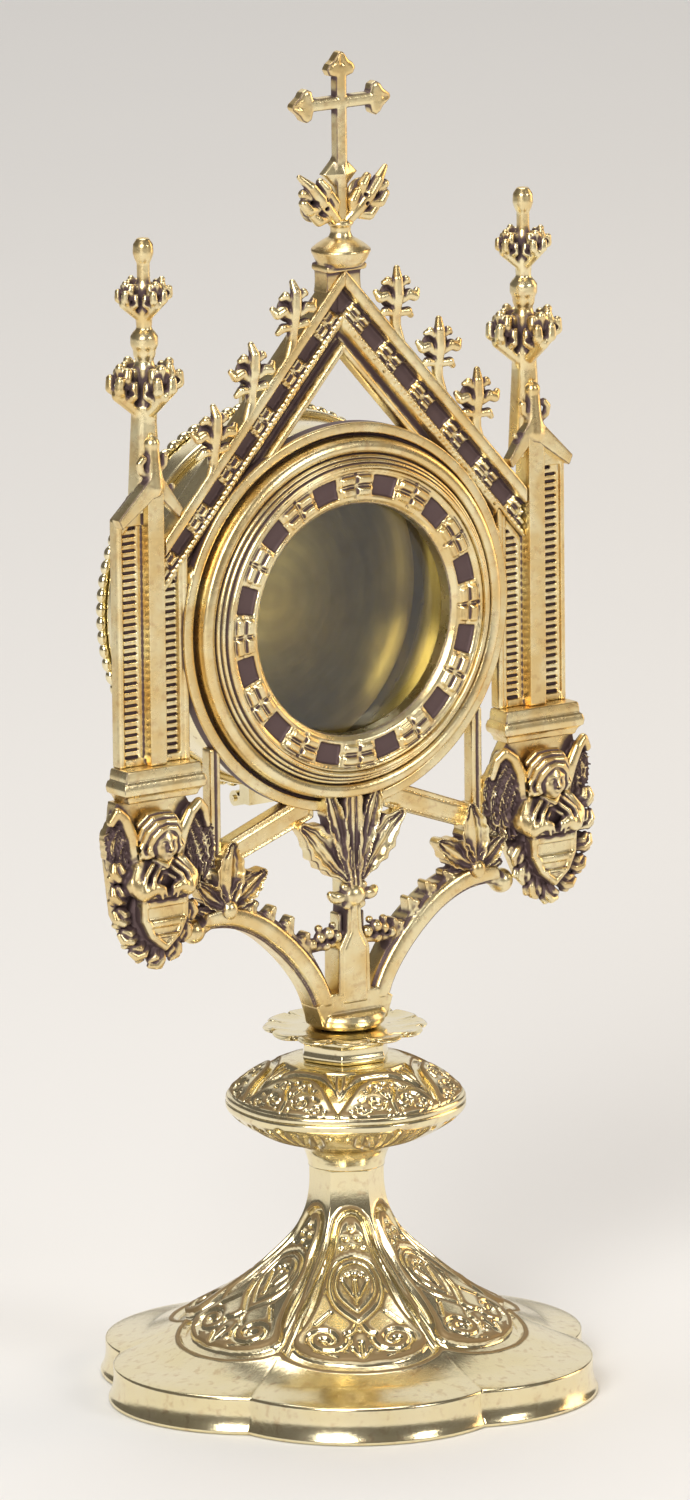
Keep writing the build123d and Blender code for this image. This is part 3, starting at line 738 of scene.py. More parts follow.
def crocket_field(p, centre):
    """A curled three-lobed leaf on a short double stalk."""
    cx, cz = centre

    def at(u, v, out=-2.1):
        return (cx + u, out, cz + v)

    back = egg(p, at(0.0, 0.4, -1.2), (2.9, 0.9, 2.6))
    strokes_of = [([at(0.0, -3.0), at(0.0, 0.6, -2.8), at(-0.1, 3.4, -2.9), at(0.2, 5.2, -2.3)],
                   [0.9, 1.15, 1.0, 0.6]),
                  ([at(-0.8, -0.8), at(-2.4, 0.6, -2.6), at(-3.6, 0.4, -2.7), at(-4.3, 1.4, -2.3)],
                   [0.8, 1.0, 0.95, 0.6]),
                  ([at(0.8, -0.8), at(2.5, 0.4, -2.6), at(3.7, -0.1, -2.7), at(4.5, 0.8, -2.3)],
                   [0.8, 1.0, 0.95, 0.6]),
                  ([at(-0.6, 1.9), at(-1.9, 3.2, -2.6), at(-2.6, 2.9, -2.3)], [0.7, 0.8, 0.55]),
                  ([at(0.6, 1.9), at(1.9, 3.0, -2.6), at(2.6, 2.5, -2.3)], [0.7, 0.8, 0.55]),
                  ([at(-0.7, -2.6), at(-2.4, -2.2, -2.4), at(-3.3, -3.0, -2.1)], [0.75, 0.85, 0.55]),
                  ([at(0.7, -2.8), at(2.4, -2.7, -2.4), at(3.3, -3.6, -2.1)], [0.75, 0.85, 0.55])]
    leaf = join_all([wire(p, points, radii) for points, radii in strokes_of], 0.12)
    leaf = join(leaf, back, 0.15)
    stalk = wire(p, [at(0.0, -2.6, -1.9), at(0.1, -5.2, -1.9), at(0.9, -8.6, -1.8)], [1.05, 1.0, 1.25])
    return join(leaf, stalk, 0.2)


def crockets_field(p):
    x, _, z = p
    centres = (11, 196.0), (20, 185.9), (28.2, 175.8)
    group = join_all([crocket_field(p, centre) for centre in centres], 0.1)
    s, _ = on_slope(x, z)
    return np.maximum(group, s - 0.5)


def apex_field(p):
    """The block over the gable's point, and the turned knob on it."""
    x, y, z = p
    reach = np.hypot(x, y + 1.2)
    knob = polygon(reach, z,
                   [(-9, 203.0), (3.7, 203.0), (4.4, 203.8), (5.2, 205.4), (5.2, 205.8), (4.4, 206.5),
                    (3.2, 207.3), (2.1, 207.9), (1.7, 208.8), (1.8, 209.8), (2.3, 210.4), (1.9, 211.0),
                    (-9, 211.0)]) - 0.08
    wide = 4.3 - 0.7 * ridge(z - 200.5, 3.0, 1.0)
    neck = meet(np.maximum(np.abs(x) - wide, np.maximum(194.5 - z, z - 203.4)),
                np.maximum(-2.2 - y, y - 2.0), 0.4)
    s, _ = on_slope(np.abs(x), z)
    neck = meet(neck, s - 0.3, 0.2)
    return join(join(neck, brick(p, (-4.3, -3.3, 202.0), (4.3, 2.0, 203.3), 0.5), 0.3), knob, 0.3)


def cross_field(p):
    """A cross with three-pointed ends and a diamond knop."""
    x, _, z = p
    side = np.abs(x)
    end = [(-2.6, 0.0), (-2.6, 1.0), (-2.2, 2.5), (-1.2, 3.0), (-0.3, 2.5), (0.3, 1.6), (1.7, 0.5),
           (1.9, 0.0)]
    outline = np.maximum(side - 1.1, np.maximum(210.5 - z, z - 239))
    outline = np.minimum(outline, np.maximum(side - 9, np.abs(z - 232) - 1.1))
    outline = np.minimum(outline, polygon(side, z, [(b, 239.1 + a) for a, b in end]))
    outline = np.minimum(outline, polygon(side, np.abs(z - 232), [(8.6 + a, b) for a, b in end]))
    bars = relief(p, outline - 0.05, -2.3 + 0.25 * smooth(-0.7, 0, outline), -0.1, 0.35)
    diamond = (side + np.abs(z - 219.3) - 3.7) * 0.707
    return join(bars, relief(p, diamond, -3.0 + 0.45 * (side + np.abs(z - 219.3)), 0.1, 0.3), 0.4)


def cross_leaf_field(p):
    """One of the two curled leaf clusters under the cross."""
    leaf = egg(p, (5.0, -1.2, 214.6), (3.9, 1.0, 3.2), -40)
    for points, radii in (([(1.2, -1.6, 210.9), (3.2, -2.3, 212.9), (5.2, -2.7, 215.2),
                            (7.2, -2.6, 217.6), (9.2, -1.9, 219.6)], [1.1, 1.15, 1.2, 1.05, 0.5]),
                          ([(3.6, -1.9, 211.7), (5.4, -2.3, 211.5), (6.7, -2.2, 212.6)],
                           [0.9, 1.05, 0.85]),
                          ([(5.8, -2.1, 213.6), (7.6, -2.5, 213.6), (8.7, -2.4, 214.9)],
                           [0.9, 1.05, 0.9]),
                          ([(7.4, -2.1, 215.8), (8.7, -2.3, 216.6)], [0.8, 0.9]),
                          ([(2.1, -1.9, 212.6), (1.9, -2.3, 214.3), (2.9, -2.3, 215.8)],
                           [0.9, 1.0, 0.85]),
                          ([(3.9, -2.1, 215.4), (3.9, -2.5, 217.0), (5.0, -2.3, 218.3)],
                           [0.9, 1.0, 0.8])):
        leaf = join(leaf, wire(p, points, radii), 0.12)
    return drill(p, leaf, [(4.3, 213.7, 0.35), (6.4, 214.8, 0.35), (4.2, 215.2, 0.25)])


# ---------------------------------------------------------------- turrets

TURRET_X = 41.0
TURRET_SET_BACK = 0.95


def turret_field(p):
    """A thin panelled plate with a ladder of rungs on each side of the shaft up its middle."""
    x, y, z = p
    p = (x, y - TURRET_SET_BACK, z)
    off = x - TURRET_X
    face = np.full(np.broadcast(x, z).shape, -1.55)
    face = np.minimum(face, np.where(off > 6.0, -1.6 - ridge(off - 6.7, 0.6, 0.7), FAR))
    inner_edge = -1.6 - 0.5 * smooth(-5.5, -5.8, off) - ridge(off + 7.0, 0.5, 0.3)
    face = np.minimum(face, np.where(off < -5.5, inner_edge, FAR))
    rungs = 0.62 * smooth(0.25, 0.7, np.abs(np.sin(math.pi * z / 1.32)))
    s, _ = on_slope(x, z)
    for low, high, top in ((2.9, 5.7, 162.4 - 0.85 * (off - 3)), (-5.4, -2.9, 152.0)):
        ladder = np.maximum(np.maximum(low - off, off - high), np.maximum(119.8 - z, z - top))
        ladder = np.maximum(ladder, np.where(off < 0, 7.4 - s, -FAR))
        face = np.where(ladder < 0, -0.65 - rungs, face)
    rise = smooth(1.95, 1.7, np.abs(off))
    face = face * (1 - rise) + (-3.85 + 0.1 * (off / 1.8) ** 2) * rise
    face = np.minimum(face, np.where((z < 119.8) | (z > 161.5), -1.9, FAR))
    top = np.where(off > 0, 169.8 - 0.95 * off, 169.8 + 1.02 * off)
    outline = np.maximum(np.maximum(33.35 - x, x - 48.4), np.maximum(118.5 - z, z - top))
    outline = np.maximum(outline, np.where(x < 39, 6.3 - s, -FAR))
    return relief(p, outline, face, np.where(np.abs(off) < 1.7, 0.5, 0.2), 0.25)


def turret_dull(p):
    """Tarnish on the ground between the rungs."""
    off = np.abs(p[0]) - TURRET_X
    panel = np.where(off > 0, smooth(2.75, 3.0, off) * smooth(5.85, 5.6, off),
                     smooth(-5.55, -5.3, off) * smooth(-2.8, -3.05, off))
    depth = p[1] - TURRET_SET_BACK
    return 0.4 * panel * smooth(-1.2, -0.85, depth) * (depth < 0.1)


def gablet_field(p):
    """Two raking bars that meet over the shaft in a pointed tip with curled buds."""
    x, _, z = p
    bar = relief(p, polygon(x, z, [(40.6, 166.8), (48.2, 161.4), (49.0, 163.2), (41.6, 170.6)]), -2.95,
                 -0.4, 0.4)
    inner = relief(p, polygon(x, z, [(41.2, 167.4), (35.9, 162.2), (35.2, 163.8), (40.4, 171.4)]), -2.7,
                   -0.4, 0.35)
    tip = rod(p, (TURRET_X, -1.7, 168.0), (TURRET_X, -1.5, 175.6), 1.9, 1.3)
    whole = join_all([bar, inner, tip], 0.5)
    buds = [wire(p, [(42.2, -1.8, 170.2), (43.6, -1.9, 171.2), (43.9, -2.0, 172.6), (43.1, -2.0, 173.4)],
                 [0.7, 0.7, 0.65, 0.7]),
            wire(p, [(39.9, -1.8, 170.8), (38.7, -1.9, 172.0), (38.6, -1.9, 173.4)], [0.6, 0.6, 0.7]),
            ball(p, (TURRET_X, -1.5, 175.9), 1.4), ball(p, (TURRET_X, -1.5, 177.2), 0.6),
            wire(p, [(37.0, -1.6, 165.2), (37.9, -1.7, 166.9), (37.0, -1.8, 167.8)], [0.6, 0.6, 0.6])]
    return join(whole, join_all(buds, 0.2), 0.35)


def cornice_field(p):
    """Stepped mouldings: a flat top, a fillet, a roll and a hollow under it."""
    x, y, z = p
    heights = (112.5, 113.2, 113.9, 114.2, 115.2, 116.2, 116.5, 117.2, 118.5)
    wide = np.interp(z, heights, (7.4, 7.6, 8.0, 8.6, 8.8, 8.5, 8.1, 8.1, 7.8))
    front = np.interp(z, heights, (-3.7, -3.9, -4.2, -4.7, -4.8, -4.6, -4.2, -4.2, -4.1))
    back = np.interp(z, heights, (0.9, 1.0, 1.2, 1.4, 1.5, 1.4, 1.2, 1.2, 1.2))
    sides = np.abs(x - TURRET_X) - wide
    return meet(meet(sides, np.maximum(front - y, y - back), 0.25), np.maximum(112.5 - z, z - 118.5), 0.3)


def leaf_tier(p, cx, cy, low, scale):
    """Four curled leaves round a spire."""
    whole = None
    for turn in range(4):
        c, s = math.cos(turn * TAU / 4), math.sin(turn * TAU / 4)
        x, y = p[0] - cx, p[1] - cy
        q = ((c * x + s * y) / scale, (c * y - s * x) / scale, (p[2] - low) / scale)
        leaf = wire(q, [(0.8, 0, -0.4), (2.6, 0, 0.8), (4.2, 0, 2.2), (5.6, 0, 3.4)], [1.1, 1.0, 1.1, 1.2])
        for side in (-1, 1):
            for points, radii in (([(3.4, 0.6, 2.6), (3.6, 1.9, 3.6), (3.4, 1.8, 5.2)], [0.9, 0.95, 0.8]),
                                  ([(5.0, 0.5, 3.6), (6.2, 1.4, 4.6), (6.2, 1.5, 6.2)], [0.9, 1.0, 0.85]),
                                  ([(4.2, 0.3, 5.0), (4.6, 1.3, 6.4), (4.4, 1.2, 7.6)], [0.9, 0.95, 0.8])):
                leaf = join(leaf, wire(q, [(a, side * b, d) for a, b, d in points], radii), 0.15)
        for points, radii in (([(4.6, 0, 3.6), (4.6, 0, 6.6), (5.2, 0, 8.2)], [1.2, 1.2, 0.85]),
                              ([(2.4, 0, 5.0), (2.5, 0, 7.2)], [0.9, 0.8])):
            leaf = join(leaf, wire(q, points, radii), 0.2)
        for hx, hz, radius in ((5.55, 5.1, 0.42), (3.5, 6.3, 0.42), (4.3, 3.9, 0.36)):
            leaf = cut(leaf, rod(q, (hx, -3, hz), (hx, 3, hz), radius, radius), 0.2)
        leaf = leaf * scale
        whole = leaf if whole is None else join(whole, leaf, 0.2)
    return whole


def pinnacle_field(p):
    """A square spire, with a ball and a tip between two tiers of leaves."""
    x, y, z = p
    cx, cy = TURRET_X - 0.2, 0.6
    half = 2.75 - 0.045 * (z - 164)
    square = meet(meet(np.abs(x - TURRET_X) - half, np.abs(y - 0.8) - np.minimum(half, 2.2), 0.5),
                  np.maximum(163.5 - z, z - 182.5), 0.3)
    edge = (np.abs(x - TURRET_X) + np.abs(y - 0.8)) * 0.707 - half * 1.1
    spire = meet(square, edge, 0.3)
    reach = np.hypot(x - cx, y - cy)
    core = polygon(reach, z,
                   [(-9, 180), (1.9, 180), (1.9, 189), (1.5, 190.4), (1.9, 191.3), (2.0, 192.3),
                    (2.4, 193.1), (2.4, 194.6), (1.9, 195.4), (1.3, 196.0), (1.5, 199), (1.5, 203.4),
                    (1.1, 204.6), (1.1, 207.6), (1.5, 208.4), (1.8, 209.4), (1.7, 210.9), (1.0, 212.0),
                    (-9, 212.3)]) - 0.05
    whole = join(spire, core, 0.4)
    whole = join(whole, leaf_tier(p, cx, cy, 181.3, 1.0), 0.3)
    return join(whole, leaf_tier(p, cx, cy, 198.2, 0.74), 0.3)


# ---------------------------------------------------------------- yoke


def arm_field(p):
    """The curved arm: a raised band between two grooves, leaflets on its upper edge, a ball at its end."""
    x, _, z = p
    under = curve([(8.2, 70), (9.6, 73.2), (12.4, 77.2), (16.2, 81.2), (20.6, 84.6), (26, 86.9),
                   (32.5, 87.5)], 1.0)
    over = curve([(31.5, 90.4), (26, 91.0), (20.1, 89.3), (15.0, 86.3), (10.3, 82.1), (6.4, 76.5),
                  (3.3, 70)], 1.0)
    outline = polygon(x, z, pairs(np.concatenate([under, over])))
    low, _ = line(x, z, pairs(under))
    face = -2.35 - 0.35 * smooth(0.4, 0.8, low) - ridge(low - 2.3, 1.7, 0.75)
    face = face + 0.5 * np.exp(-((low - 4.2) / 0.35) ** 2)
    bar = relief(p, outline, face, 2.0, 0.4)
    end = ball(p, (33.4, -1.2, 87.3), 2.25)
    scroll = join(end, ball(p, (31.2, -1.4, 88.0), 1.3), 0.6)
    leaves = []
    for lx, lz, tx, tz in ((10.4, 80.6, 9.4, 84.0), (13.6, 83.8, 12.8, 87.4), (17.6, 86.6, 16.6, 89.8),
                           (21.4, 88.6, 20.6, 91.2)):
        leaves.append(lobe(p, [(lx + 0.6, lz - 0.6), (lx, lz + 1), (tx, tz - 0.6)], [1.1, 1.2, 0.6], -2.2,
                           0.2, 0.5, 0.2))
        leaves.append(ball(p, (tx + 1.3, -2.1, tz - 1.3), 0.8))
    buds = [((3.4, -2.3, 82.4), 1.15), ((5.2, -2.5, 83.2), 1.15), ((6.9, -2.3, 82.6), 1.1),
            ((8.5, -2.2, 81.6), 1.1), ((5.6, -2.2, 81.0), 1.0), ((7.0, -2.1, 84.2), 0.75),
            ((4.0, -2.1, 84.4), 0.7)]
    link = join(rod(p, (2.4, -1.4, 81.2), (9.8, -1.4, 80.8), 1.0, 1.1), curls(p, buds, 0.25), 0.3)
    link = drill(p, link, [(4.3, 82.0, 0.3), (6.1, 82.0, 0.3), (7.7, 81.6, 0.3)])
    return join_all([bar, scroll, join_all(leaves, 0.25), link], 0.35)


def stem_field(p):
    """The upright under the palmette, with a cross-shaped bud where it narrows."""
    x, y, z = p
    half = np.interp(z, (70, 74, 80, 83, 87, 91), (3.5, 3.4, 3.3, 1.7, 1.45, 1.5))
    face = -3.25 - 0.45 * ridge(x, half, 1.0) + 0.35 * np.exp(-((np.abs(x) - half + 0.7) / 0.25) ** 2)
    shaft = relief(p, np.maximum(np.abs(x) - half, np.maximum(70 - z, z - 93)), face, 1.5, 0.35)
    side = np.abs(x)
    q = (side, y, z)
    fillets = relief(p, np.maximum(np.abs(side - 2.35) - 0.4, np.maximum(79.5 - z, z - 86.4)), -2.4, 0.5,
                     0.3)
    bud = join_all([egg(q, (0, -3.1, 89.6), (2.3, 1.6, 2.0)), egg(q, (3.3, -2.9, 89.5), (1.9, 1.1, 1.15)),
                    ball(q, (4.7, -2.7, 90.1), 0.75), ball(q, (2.0, -3.0, 91.2), 0.85),
                    ball(q, (1.6, -3.1, 87.9), 0.8)], 0.4)
    return join_all([shaft, fillets, bud], 0.35)


def palmette_field(p):
    """The fluted leaf over the bottom of the window, with a broad hollow lobe on each side."""
    x, y, z = p
    q = (np.abs(x), y, z)
    leaf = lobe(q, [(0, 91.5), (0, 110.6)], [1.3, 1.7, 2.0, 2.2, 2.0, 1.3], -3.9, -0.6, flutes=1.5)
    for points, widths, front, flutes in (([(1.4, 94.5), (3.2, 101.5), (5.2, 108.2)],
                                           [0.9, 1.5, 1.8, 1.8, 1.1], -3.7, 1.0),
                                          ([(1.6, 92.8), (5.2, 97.6), (8.2, 101.2), (10.6, 103.0)],
                                           [0.9, 2.2, 3.1, 3.2, 2.4, 1.0], -3.6, 1.5)):
        leaf = join(leaf, lobe(q, points, widths, front, -0.6, flutes=flutes), 0.12)
    return leaf


def leaf_spray_field(p):
    """The leaf where arm, strut and post meet: three hollow lobes over two small ones."""
    leaf = None
    for points, widths, front, flutes in (
            ([(26.8, 91.0), (26.5, 97.0), (25.9, 101.8)], [0.9, 2.3, 3.0, 2.6, 1.0], -3.5, 1.0),
            ([(26.4, 91.2), (23.0, 93.8), (19.4, 96.2)], [0.8, 2.0, 2.6, 2.2, 0.9], -3.3, 1.0),
            ([(27.4, 91.2), (30.2, 93.2), (32.8, 95.6)], [0.8, 1.7, 2.0, 1.7, 0.8], -3.2, 1.0),
            ([(26.2, 90.6), (23.2, 90.2), (20.6, 90.6)], [0.7, 1.1, 1.2, 0.7], -3.0, 0.5),
            ([(27.4, 90.6), (30.0, 90.2), (32.4, 91.0)], [0.7, 1.1, 1.2, 0.7], -3.0, 0.5)):
        part = lobe(p, points, widths, front, -0.3, flutes=flutes)
        leaf = part if leaf is None else join(leaf, part, 0.15)
    return join(leaf, egg(p, (26.9, -3.5, 90.6), (1.5, 1.1, 1.7)), 0.3)


def post_field(p):
    """The thin upright, with a groove down its face."""
    x, _, z = p
    bar = brick(p, (27.2, -1.6, 90.4), (29.4, 1.2, 119.6), 0.35)
    bar = cut(bar, brick(p, (28.1, -3.0, 90.0), (28.5, -1.2, 120.0), 0.1), 0.15)
    return np.maximum(bar, FRAME_OUTER - 0.4 - np.hypot(x, z - WINDOW_Z))


def strut_field(p):
    """The flat bar from the window down to the leaf, with a line sunk along each edge."""
    x, _, z = p
    outline = polygon(x, z,
                      [(7.5, 104.4), (7.5, 109.6), (25.9, 102.6), (27.2, 100.4), (27.2, 97.4),
                       (24.4, 98.4)])
    face = -1.9 + 0.35 * np.exp(-((outline + 0.75) / 0.2) ** 2)
    return relief(p, np.maximum(outline, FRAME_OUTER + 0.2 - np.hypot(x, z - WINDOW_Z)), face, 1.2, 0.3)


# ---------------------------------------------------------------- angels

ANGEL_X = 42.0


def face_field(p):
    """A calm, even face with parted lips and lowered lids, on a round skull with a short neck."""
    u, v, w = p[0] - ANGEL_X, -(p[1] + 4.3), p[2] - 105.2
    q = (np.abs(u), v, w)
    chin, cheek = ball(q, (0, 1.55, -2.15), 1.1), ball(q, (1.15, 1.55, -0.95), 1.05)
    brow = rod(q, (0.3, 2.45, 0.62), (1.6, 2.0, 0.85), 0.5, 0.4)
    socket, eye = ball(q, (0.98, 3.15, 0.12), 0.62), ball(q, (0.98, 2.2, 0.08), 0.56)
    upper_lid = wire(q, [(0.42, 2.62, 0.12), (0.95, 2.82, 0.36), (1.6, 2.35, 0.12)], [0.12, 0.15, 0.12])
    lower_lid = wire(q, [(0.5, 2.55, -0.08), (0.98, 2.7, -0.2), (1.5, 2.4, -0.02)], [0.09, 0.1, 0.09])
    nose, nostril = rod(q, (0, 2.7, 0.5), (0, 3.45, -0.72), 0.26, 0.36), ball(q, (0.3, 3.05, -0.85), 0.27)
    upper_lip = wire(q, [(0, 3.0, -1.42), (0.32, 2.95, -1.4), (0.72, 2.6, -1.52)], [0.19, 0.18, 0.1])
    lower_lip = wire(q, [(0, 2.92, -1.76), (0.5, 2.72, -1.68)], [0.22, 0.12])
    neck = rod(p, (ANGEL_X, -3.4, 99.5), (ANGEL_X, -3.9, 103), 1.7, 1.5)
    head = egg(q, (0, 0, 0.3), (2.75, 3.0, 3.4))
    for part, soft in ((chin, 0.9), (cheek, 0.8), (brow, 0.5)):
        head = join(head, part, soft)
    head = cut(head, socket, 0.4)
    for part, soft in ((eye, 0.12), (upper_lid, 0.12), (lower_lid, 0.12), (nose, 0.35), (nostril, 0.2),
                       (upper_lip, 0.14), (lower_lip, 0.14), (neck, 0.7)):
        head = join(head, part, soft)
    return head


def hair_field(p):
    """Thick waves of hair, swept back from the brow and curling over the ears."""
    whole = cut(egg(p, (ANGEL_X, -3.5, 106.5), (3.4, 3.0, 3.8)),
                egg(p, (ANGEL_X, -7.7, 104.5), (2.2, 2.4, 2.9)), 0.4)
    for side in (-1, 1):
        for points, radii in (([(0.1, -6.3, 108.1), (1.5, -6.5, 107.8), (2.5, -6.0, 106.6),
                                (2.9, -5.4, 105.2)], [0.5, 0.65, 0.7, 0.6]),
                              ([(0.2, -5.7, 109.0), (1.9, -5.9, 108.8), (3.1, -5.2, 107.4),
                                (3.5, -4.6, 105.8)], [0.5, 0.7, 0.75, 0.65]),
                              ([(0.3, -4.8, 109.8), (2.1, -4.9, 109.5), (3.5, -4.2, 108.0),
                                (3.9, -3.6, 106.2)], [0.55, 0.75, 0.75, 0.7]),
                              ([(0.4, -3.6, 110.2), (2.2, -3.6, 109.9), (3.7, -3.0, 108.3)],
                               [0.55, 0.7, 0.7]),
                              ([(2.8, -5.3, 105.0), (3.2, -5.6, 104.2), (2.7, -5.5, 103.5),
                                (3.4, -4.8, 103.0)], [0.6, 0.65, 0.6, 0.55]),
                              ([(3.7, -4.4, 105.4), (4.2, -4.4, 104.4), (3.7, -4.5, 103.4),
                                (4.3, -3.9, 102.8)], [0.65, 0.7, 0.65, 0.6])):
            whole = join(whole, wire(p, [(ANGEL_X + side * u, y, z) for u, y, z in points], radii), 0.14)
    return whole


def wing_field(p):
    """Both wings: an arched upper edge, and feathers hanging from it."""
    whole = None
    for points, widths, front in (
            ([(36.6, 105.0), (35.4, 99.6), (35.0, 95.4)], [0.9, 1.4, 0.7], -3.2),
            ([(35.6, 107.0), (33.6, 101.4), (33.0, 95.8)], [1.0, 1.5, 0.7], -3.0),
            ([(34.6, 108.6), (32.0, 103.2), (31.0, 96.8)], [1.0, 1.6, 0.8], -2.8),
            ([(33.6, 109.6), (30.8, 105.4), (29.6, 99.0)], [1.0, 1.4, 0.7], -2.5),
            ([(47.6, 106.0), (48.8, 103.4), (48.9, 100.6)], [1.0, 1.3, 0.7], -3.2),
            ([(48.8, 108.4), (50.4, 105.2), (50.4, 101.4)], [1.0, 1.4, 0.8], -3.0),
            ([(49.8, 109.8), (51.4, 107.0), (51.5, 103.4)], [0.9, 1.1, 0.7], -2.7)):
        feather = lobe(p, points, widths, front, -0.2, 0.6, 0.35, 3)
        whole = feather if whole is None else join(whole, feather, 0.15)
    for points in ([(37.4, -2.6, 102.6), (36.6, -3.2, 106.6), (35.0, -3.4, 109.6), (33.2, -3.2, 111.0),
                    (31.7, -2.8, 109.6), (30.9, -2.4, 106.6)],
                   [(46.6, -2.6, 102.6), (47.5, -3.2, 106.8), (49.0, -3.4, 110.0), (50.4, -3.2, 111.4),
                    (51.5, -2.8, 109.6)]):
        whole = join(whole, wire(p, points, [1.2, 1.15, 1.0, 0.9, 0.8, 0.65]), 0.3)
    return whole


def shield_field(p):
    """A blank shield with a raised border and two plain bands across it."""
    x, _, z = p
    outline = polygon(x, z,
                      [(37.1, 96.6), (47.2, 96.6), (47.0, 91.6), (45.4, 88.4), (42.2, 85.8), (39.0, 88.4),
                       (37.3, 91.6)])
    face = -5.6 - 0.05 * (4 - np.abs(x - 42.2)) - 0.5 * ridge(outline + 0.6, 0.6, 1.0)
    for middle, half in ((94.6, 0.75), (91.0, 0.8), (88.7, 0.4)):
        face = face - 0.5 * smooth(half, half - 0.3, np.abs(z - middle)) * smooth(-0.6, -1.0, outline)
    return relief(p, outline, face, -3.4, 0.3)


def robe_field(p):
    """Shoulders, full sleeves and hands on the shield's upper edge."""
    whole = egg(p, (ANGEL_X, -2.6, 99.4), (5.6, 2.6, 3.4))
    for side in (-1, 1):

        def at(u, y, z):
            return (ANGEL_X + side * u, y, z)

        sleeve = wire(p,
                      [at(4.0, -2.9, 101.2), at(5.6, -4.0, 98.2), at(4.6, -5.4, 96.9),
                       at(2.4, -6.2, 97.5)], [1.7, 2.1, 1.7, 1.1])
        folds = [wire(p, [at(2.4, -5.2, 101.6), at(4.4, -5.9, 99.6), at(5.0, -6.3, 97.6)],
                      [0.45, 0.5, 0.45]),
                 wire(p, [at(1.0, -5.4, 101.0), at(2.8, -6.3, 99.4), at(3.6, -6.9, 97.4)],
                      [0.4, 0.5, 0.4]),
                 wire(p, [at(5.0, -4.2, 101.6), at(6.6, -5.0, 99.2), at(6.4, -5.6, 97.0)],
                      [0.4, 0.5, 0.4]), wire(p, [at(0.2, -5.1, 99.9), at(1.6, -6.1, 98.8)], [0.35, 0.4])]
        palm = egg(p, at(1.6, -6.6, 97.2), (1.1, 0.75, 0.9))
        finger = rod(p, at(1.3, -6.9, 97.3), at(0.7, -6.9, 96.2), 0.36, 0.3)
        hand = join(palm, finger, 0.3)
        hand = join(hand, rod(p, at(1.9, -6.9, 96.9), at(1.5, -6.9, 95.7), 0.34, 0.28), 0.25)
        whole = join_all([whole, join(sleeve, join_all(folds, 0.25), 0.3), hand], 0.3)
    collar = wire(p, [(40.1, -4.6, 102.2), (42, -6.0, 101.2), (43.9, -4.6, 102.2)], [0.5, 0.55, 0.5])
    return join(whole, collar, 0.3)


def corbel_leaf_field(p):
    """The row of curled leaves down the outer edge and round the bottom."""
    whole = None
    for cx, cz, turn in ((50.4, 100.4, 8), (50.5, 96.4, 0), (49.9, 92.4, -15), (48.5, 88.8, -35),
                         (46.2, 86.0, -55), (42.6, 84.2, -90), (39.2, 85.6, -125), (37.0, 88.6, -145),
                         (35.8, 92.2, -165)):
        c, s = math.cos(math.radians(turn)), math.sin(math.radians(turn))

        def at(a, b, y):
            return (cx + a * c - b * s, y, cz + a * s + b * c)

        leaf = egg(p, at(-0.3, 0.0, -2.4), (1.7, 1.3, 1.9))
        for points, radii in (([at(-1.2, -1.2, -3.2), at(0.2, -0.9, -3.7), at(1.3, 0.2, -3.6),
                                at(1.2, 1.5, -3.3)], [0.6, 0.75, 0.75, 0.55]),
                              ([at(-1.4, 0.1, -3.3), at(-0.3, 0.5, -3.8), at(0.2, 1.6, -3.4)],
                               [0.6, 0.7, 0.55]),
                              ([at(0.9, -1.5, -3.0), at(1.6, -0.8, -3.1)], [0.5, 0.6])):
            leaf = join(leaf, wire(p, points, radii), 0.12)
        whole = leaf if whole is None else join(whole, leaf, 0.15)
    return whole


def corbel_field(p):
    x, _, z = p
    back = relief(p,
                  polygon(x, z,
                          [(35.0, 112.6), (49.4, 112.6), (50.8, 102), (49.6, 92), (47.4, 87.6),
                           (42.4, 83.8), (38.0, 86.6), (35.6, 92), (33.0, 97), (31.4, 104), (33.4, 110)]),
                  -1.6, 1.5, 0.4)
    back = join(back, egg(p, (42.2, -2.0, 92), (5.6, 2.6, 6.6)), 0.5)
    whole = join_all([back, wing_field(p), robe_field(p)], 0.3)
    whole = join(whole, shield_field(p), 0.15)
    return join(whole, corbel_leaf_field(p), 0.25)


def head_field(p):
    return join(face_field(p), hair_field(p), 0.15)


# ---------------------------------------------------------------- case and door


def bead_ring_shape(reach, y, radius, count):
    """A ring of round beads that touch."""
    around, section = count * 16, 18
    a = np.arange(around) / around * TAU
    b = np.arange(section) / section * TAU
    step = (a * count) % TAU / TAU - 0.5
    size = radius * np.sqrt(np.clip(1 - (step / 0.56) ** 2, 0.12, 1))
    r = reach + size[:, None] * np.cos(b)[None, :]
    points = np.stack([r * np.cos(-a)[:, None], y + size[:, None] * np.sin(b)[None, :],
                       WINDOW_Z + r * np.sin(-a)[:, None]], 2)
    shade = np.broadcast_to(0.3 + 0.5 * smooth(0.35, 0.8, size / radius)[:, None], r.shape)
    return points.reshape(-1, 3), ring_faces(around, section), shade.ravel()


# ---------------------------------------------------------------- materials


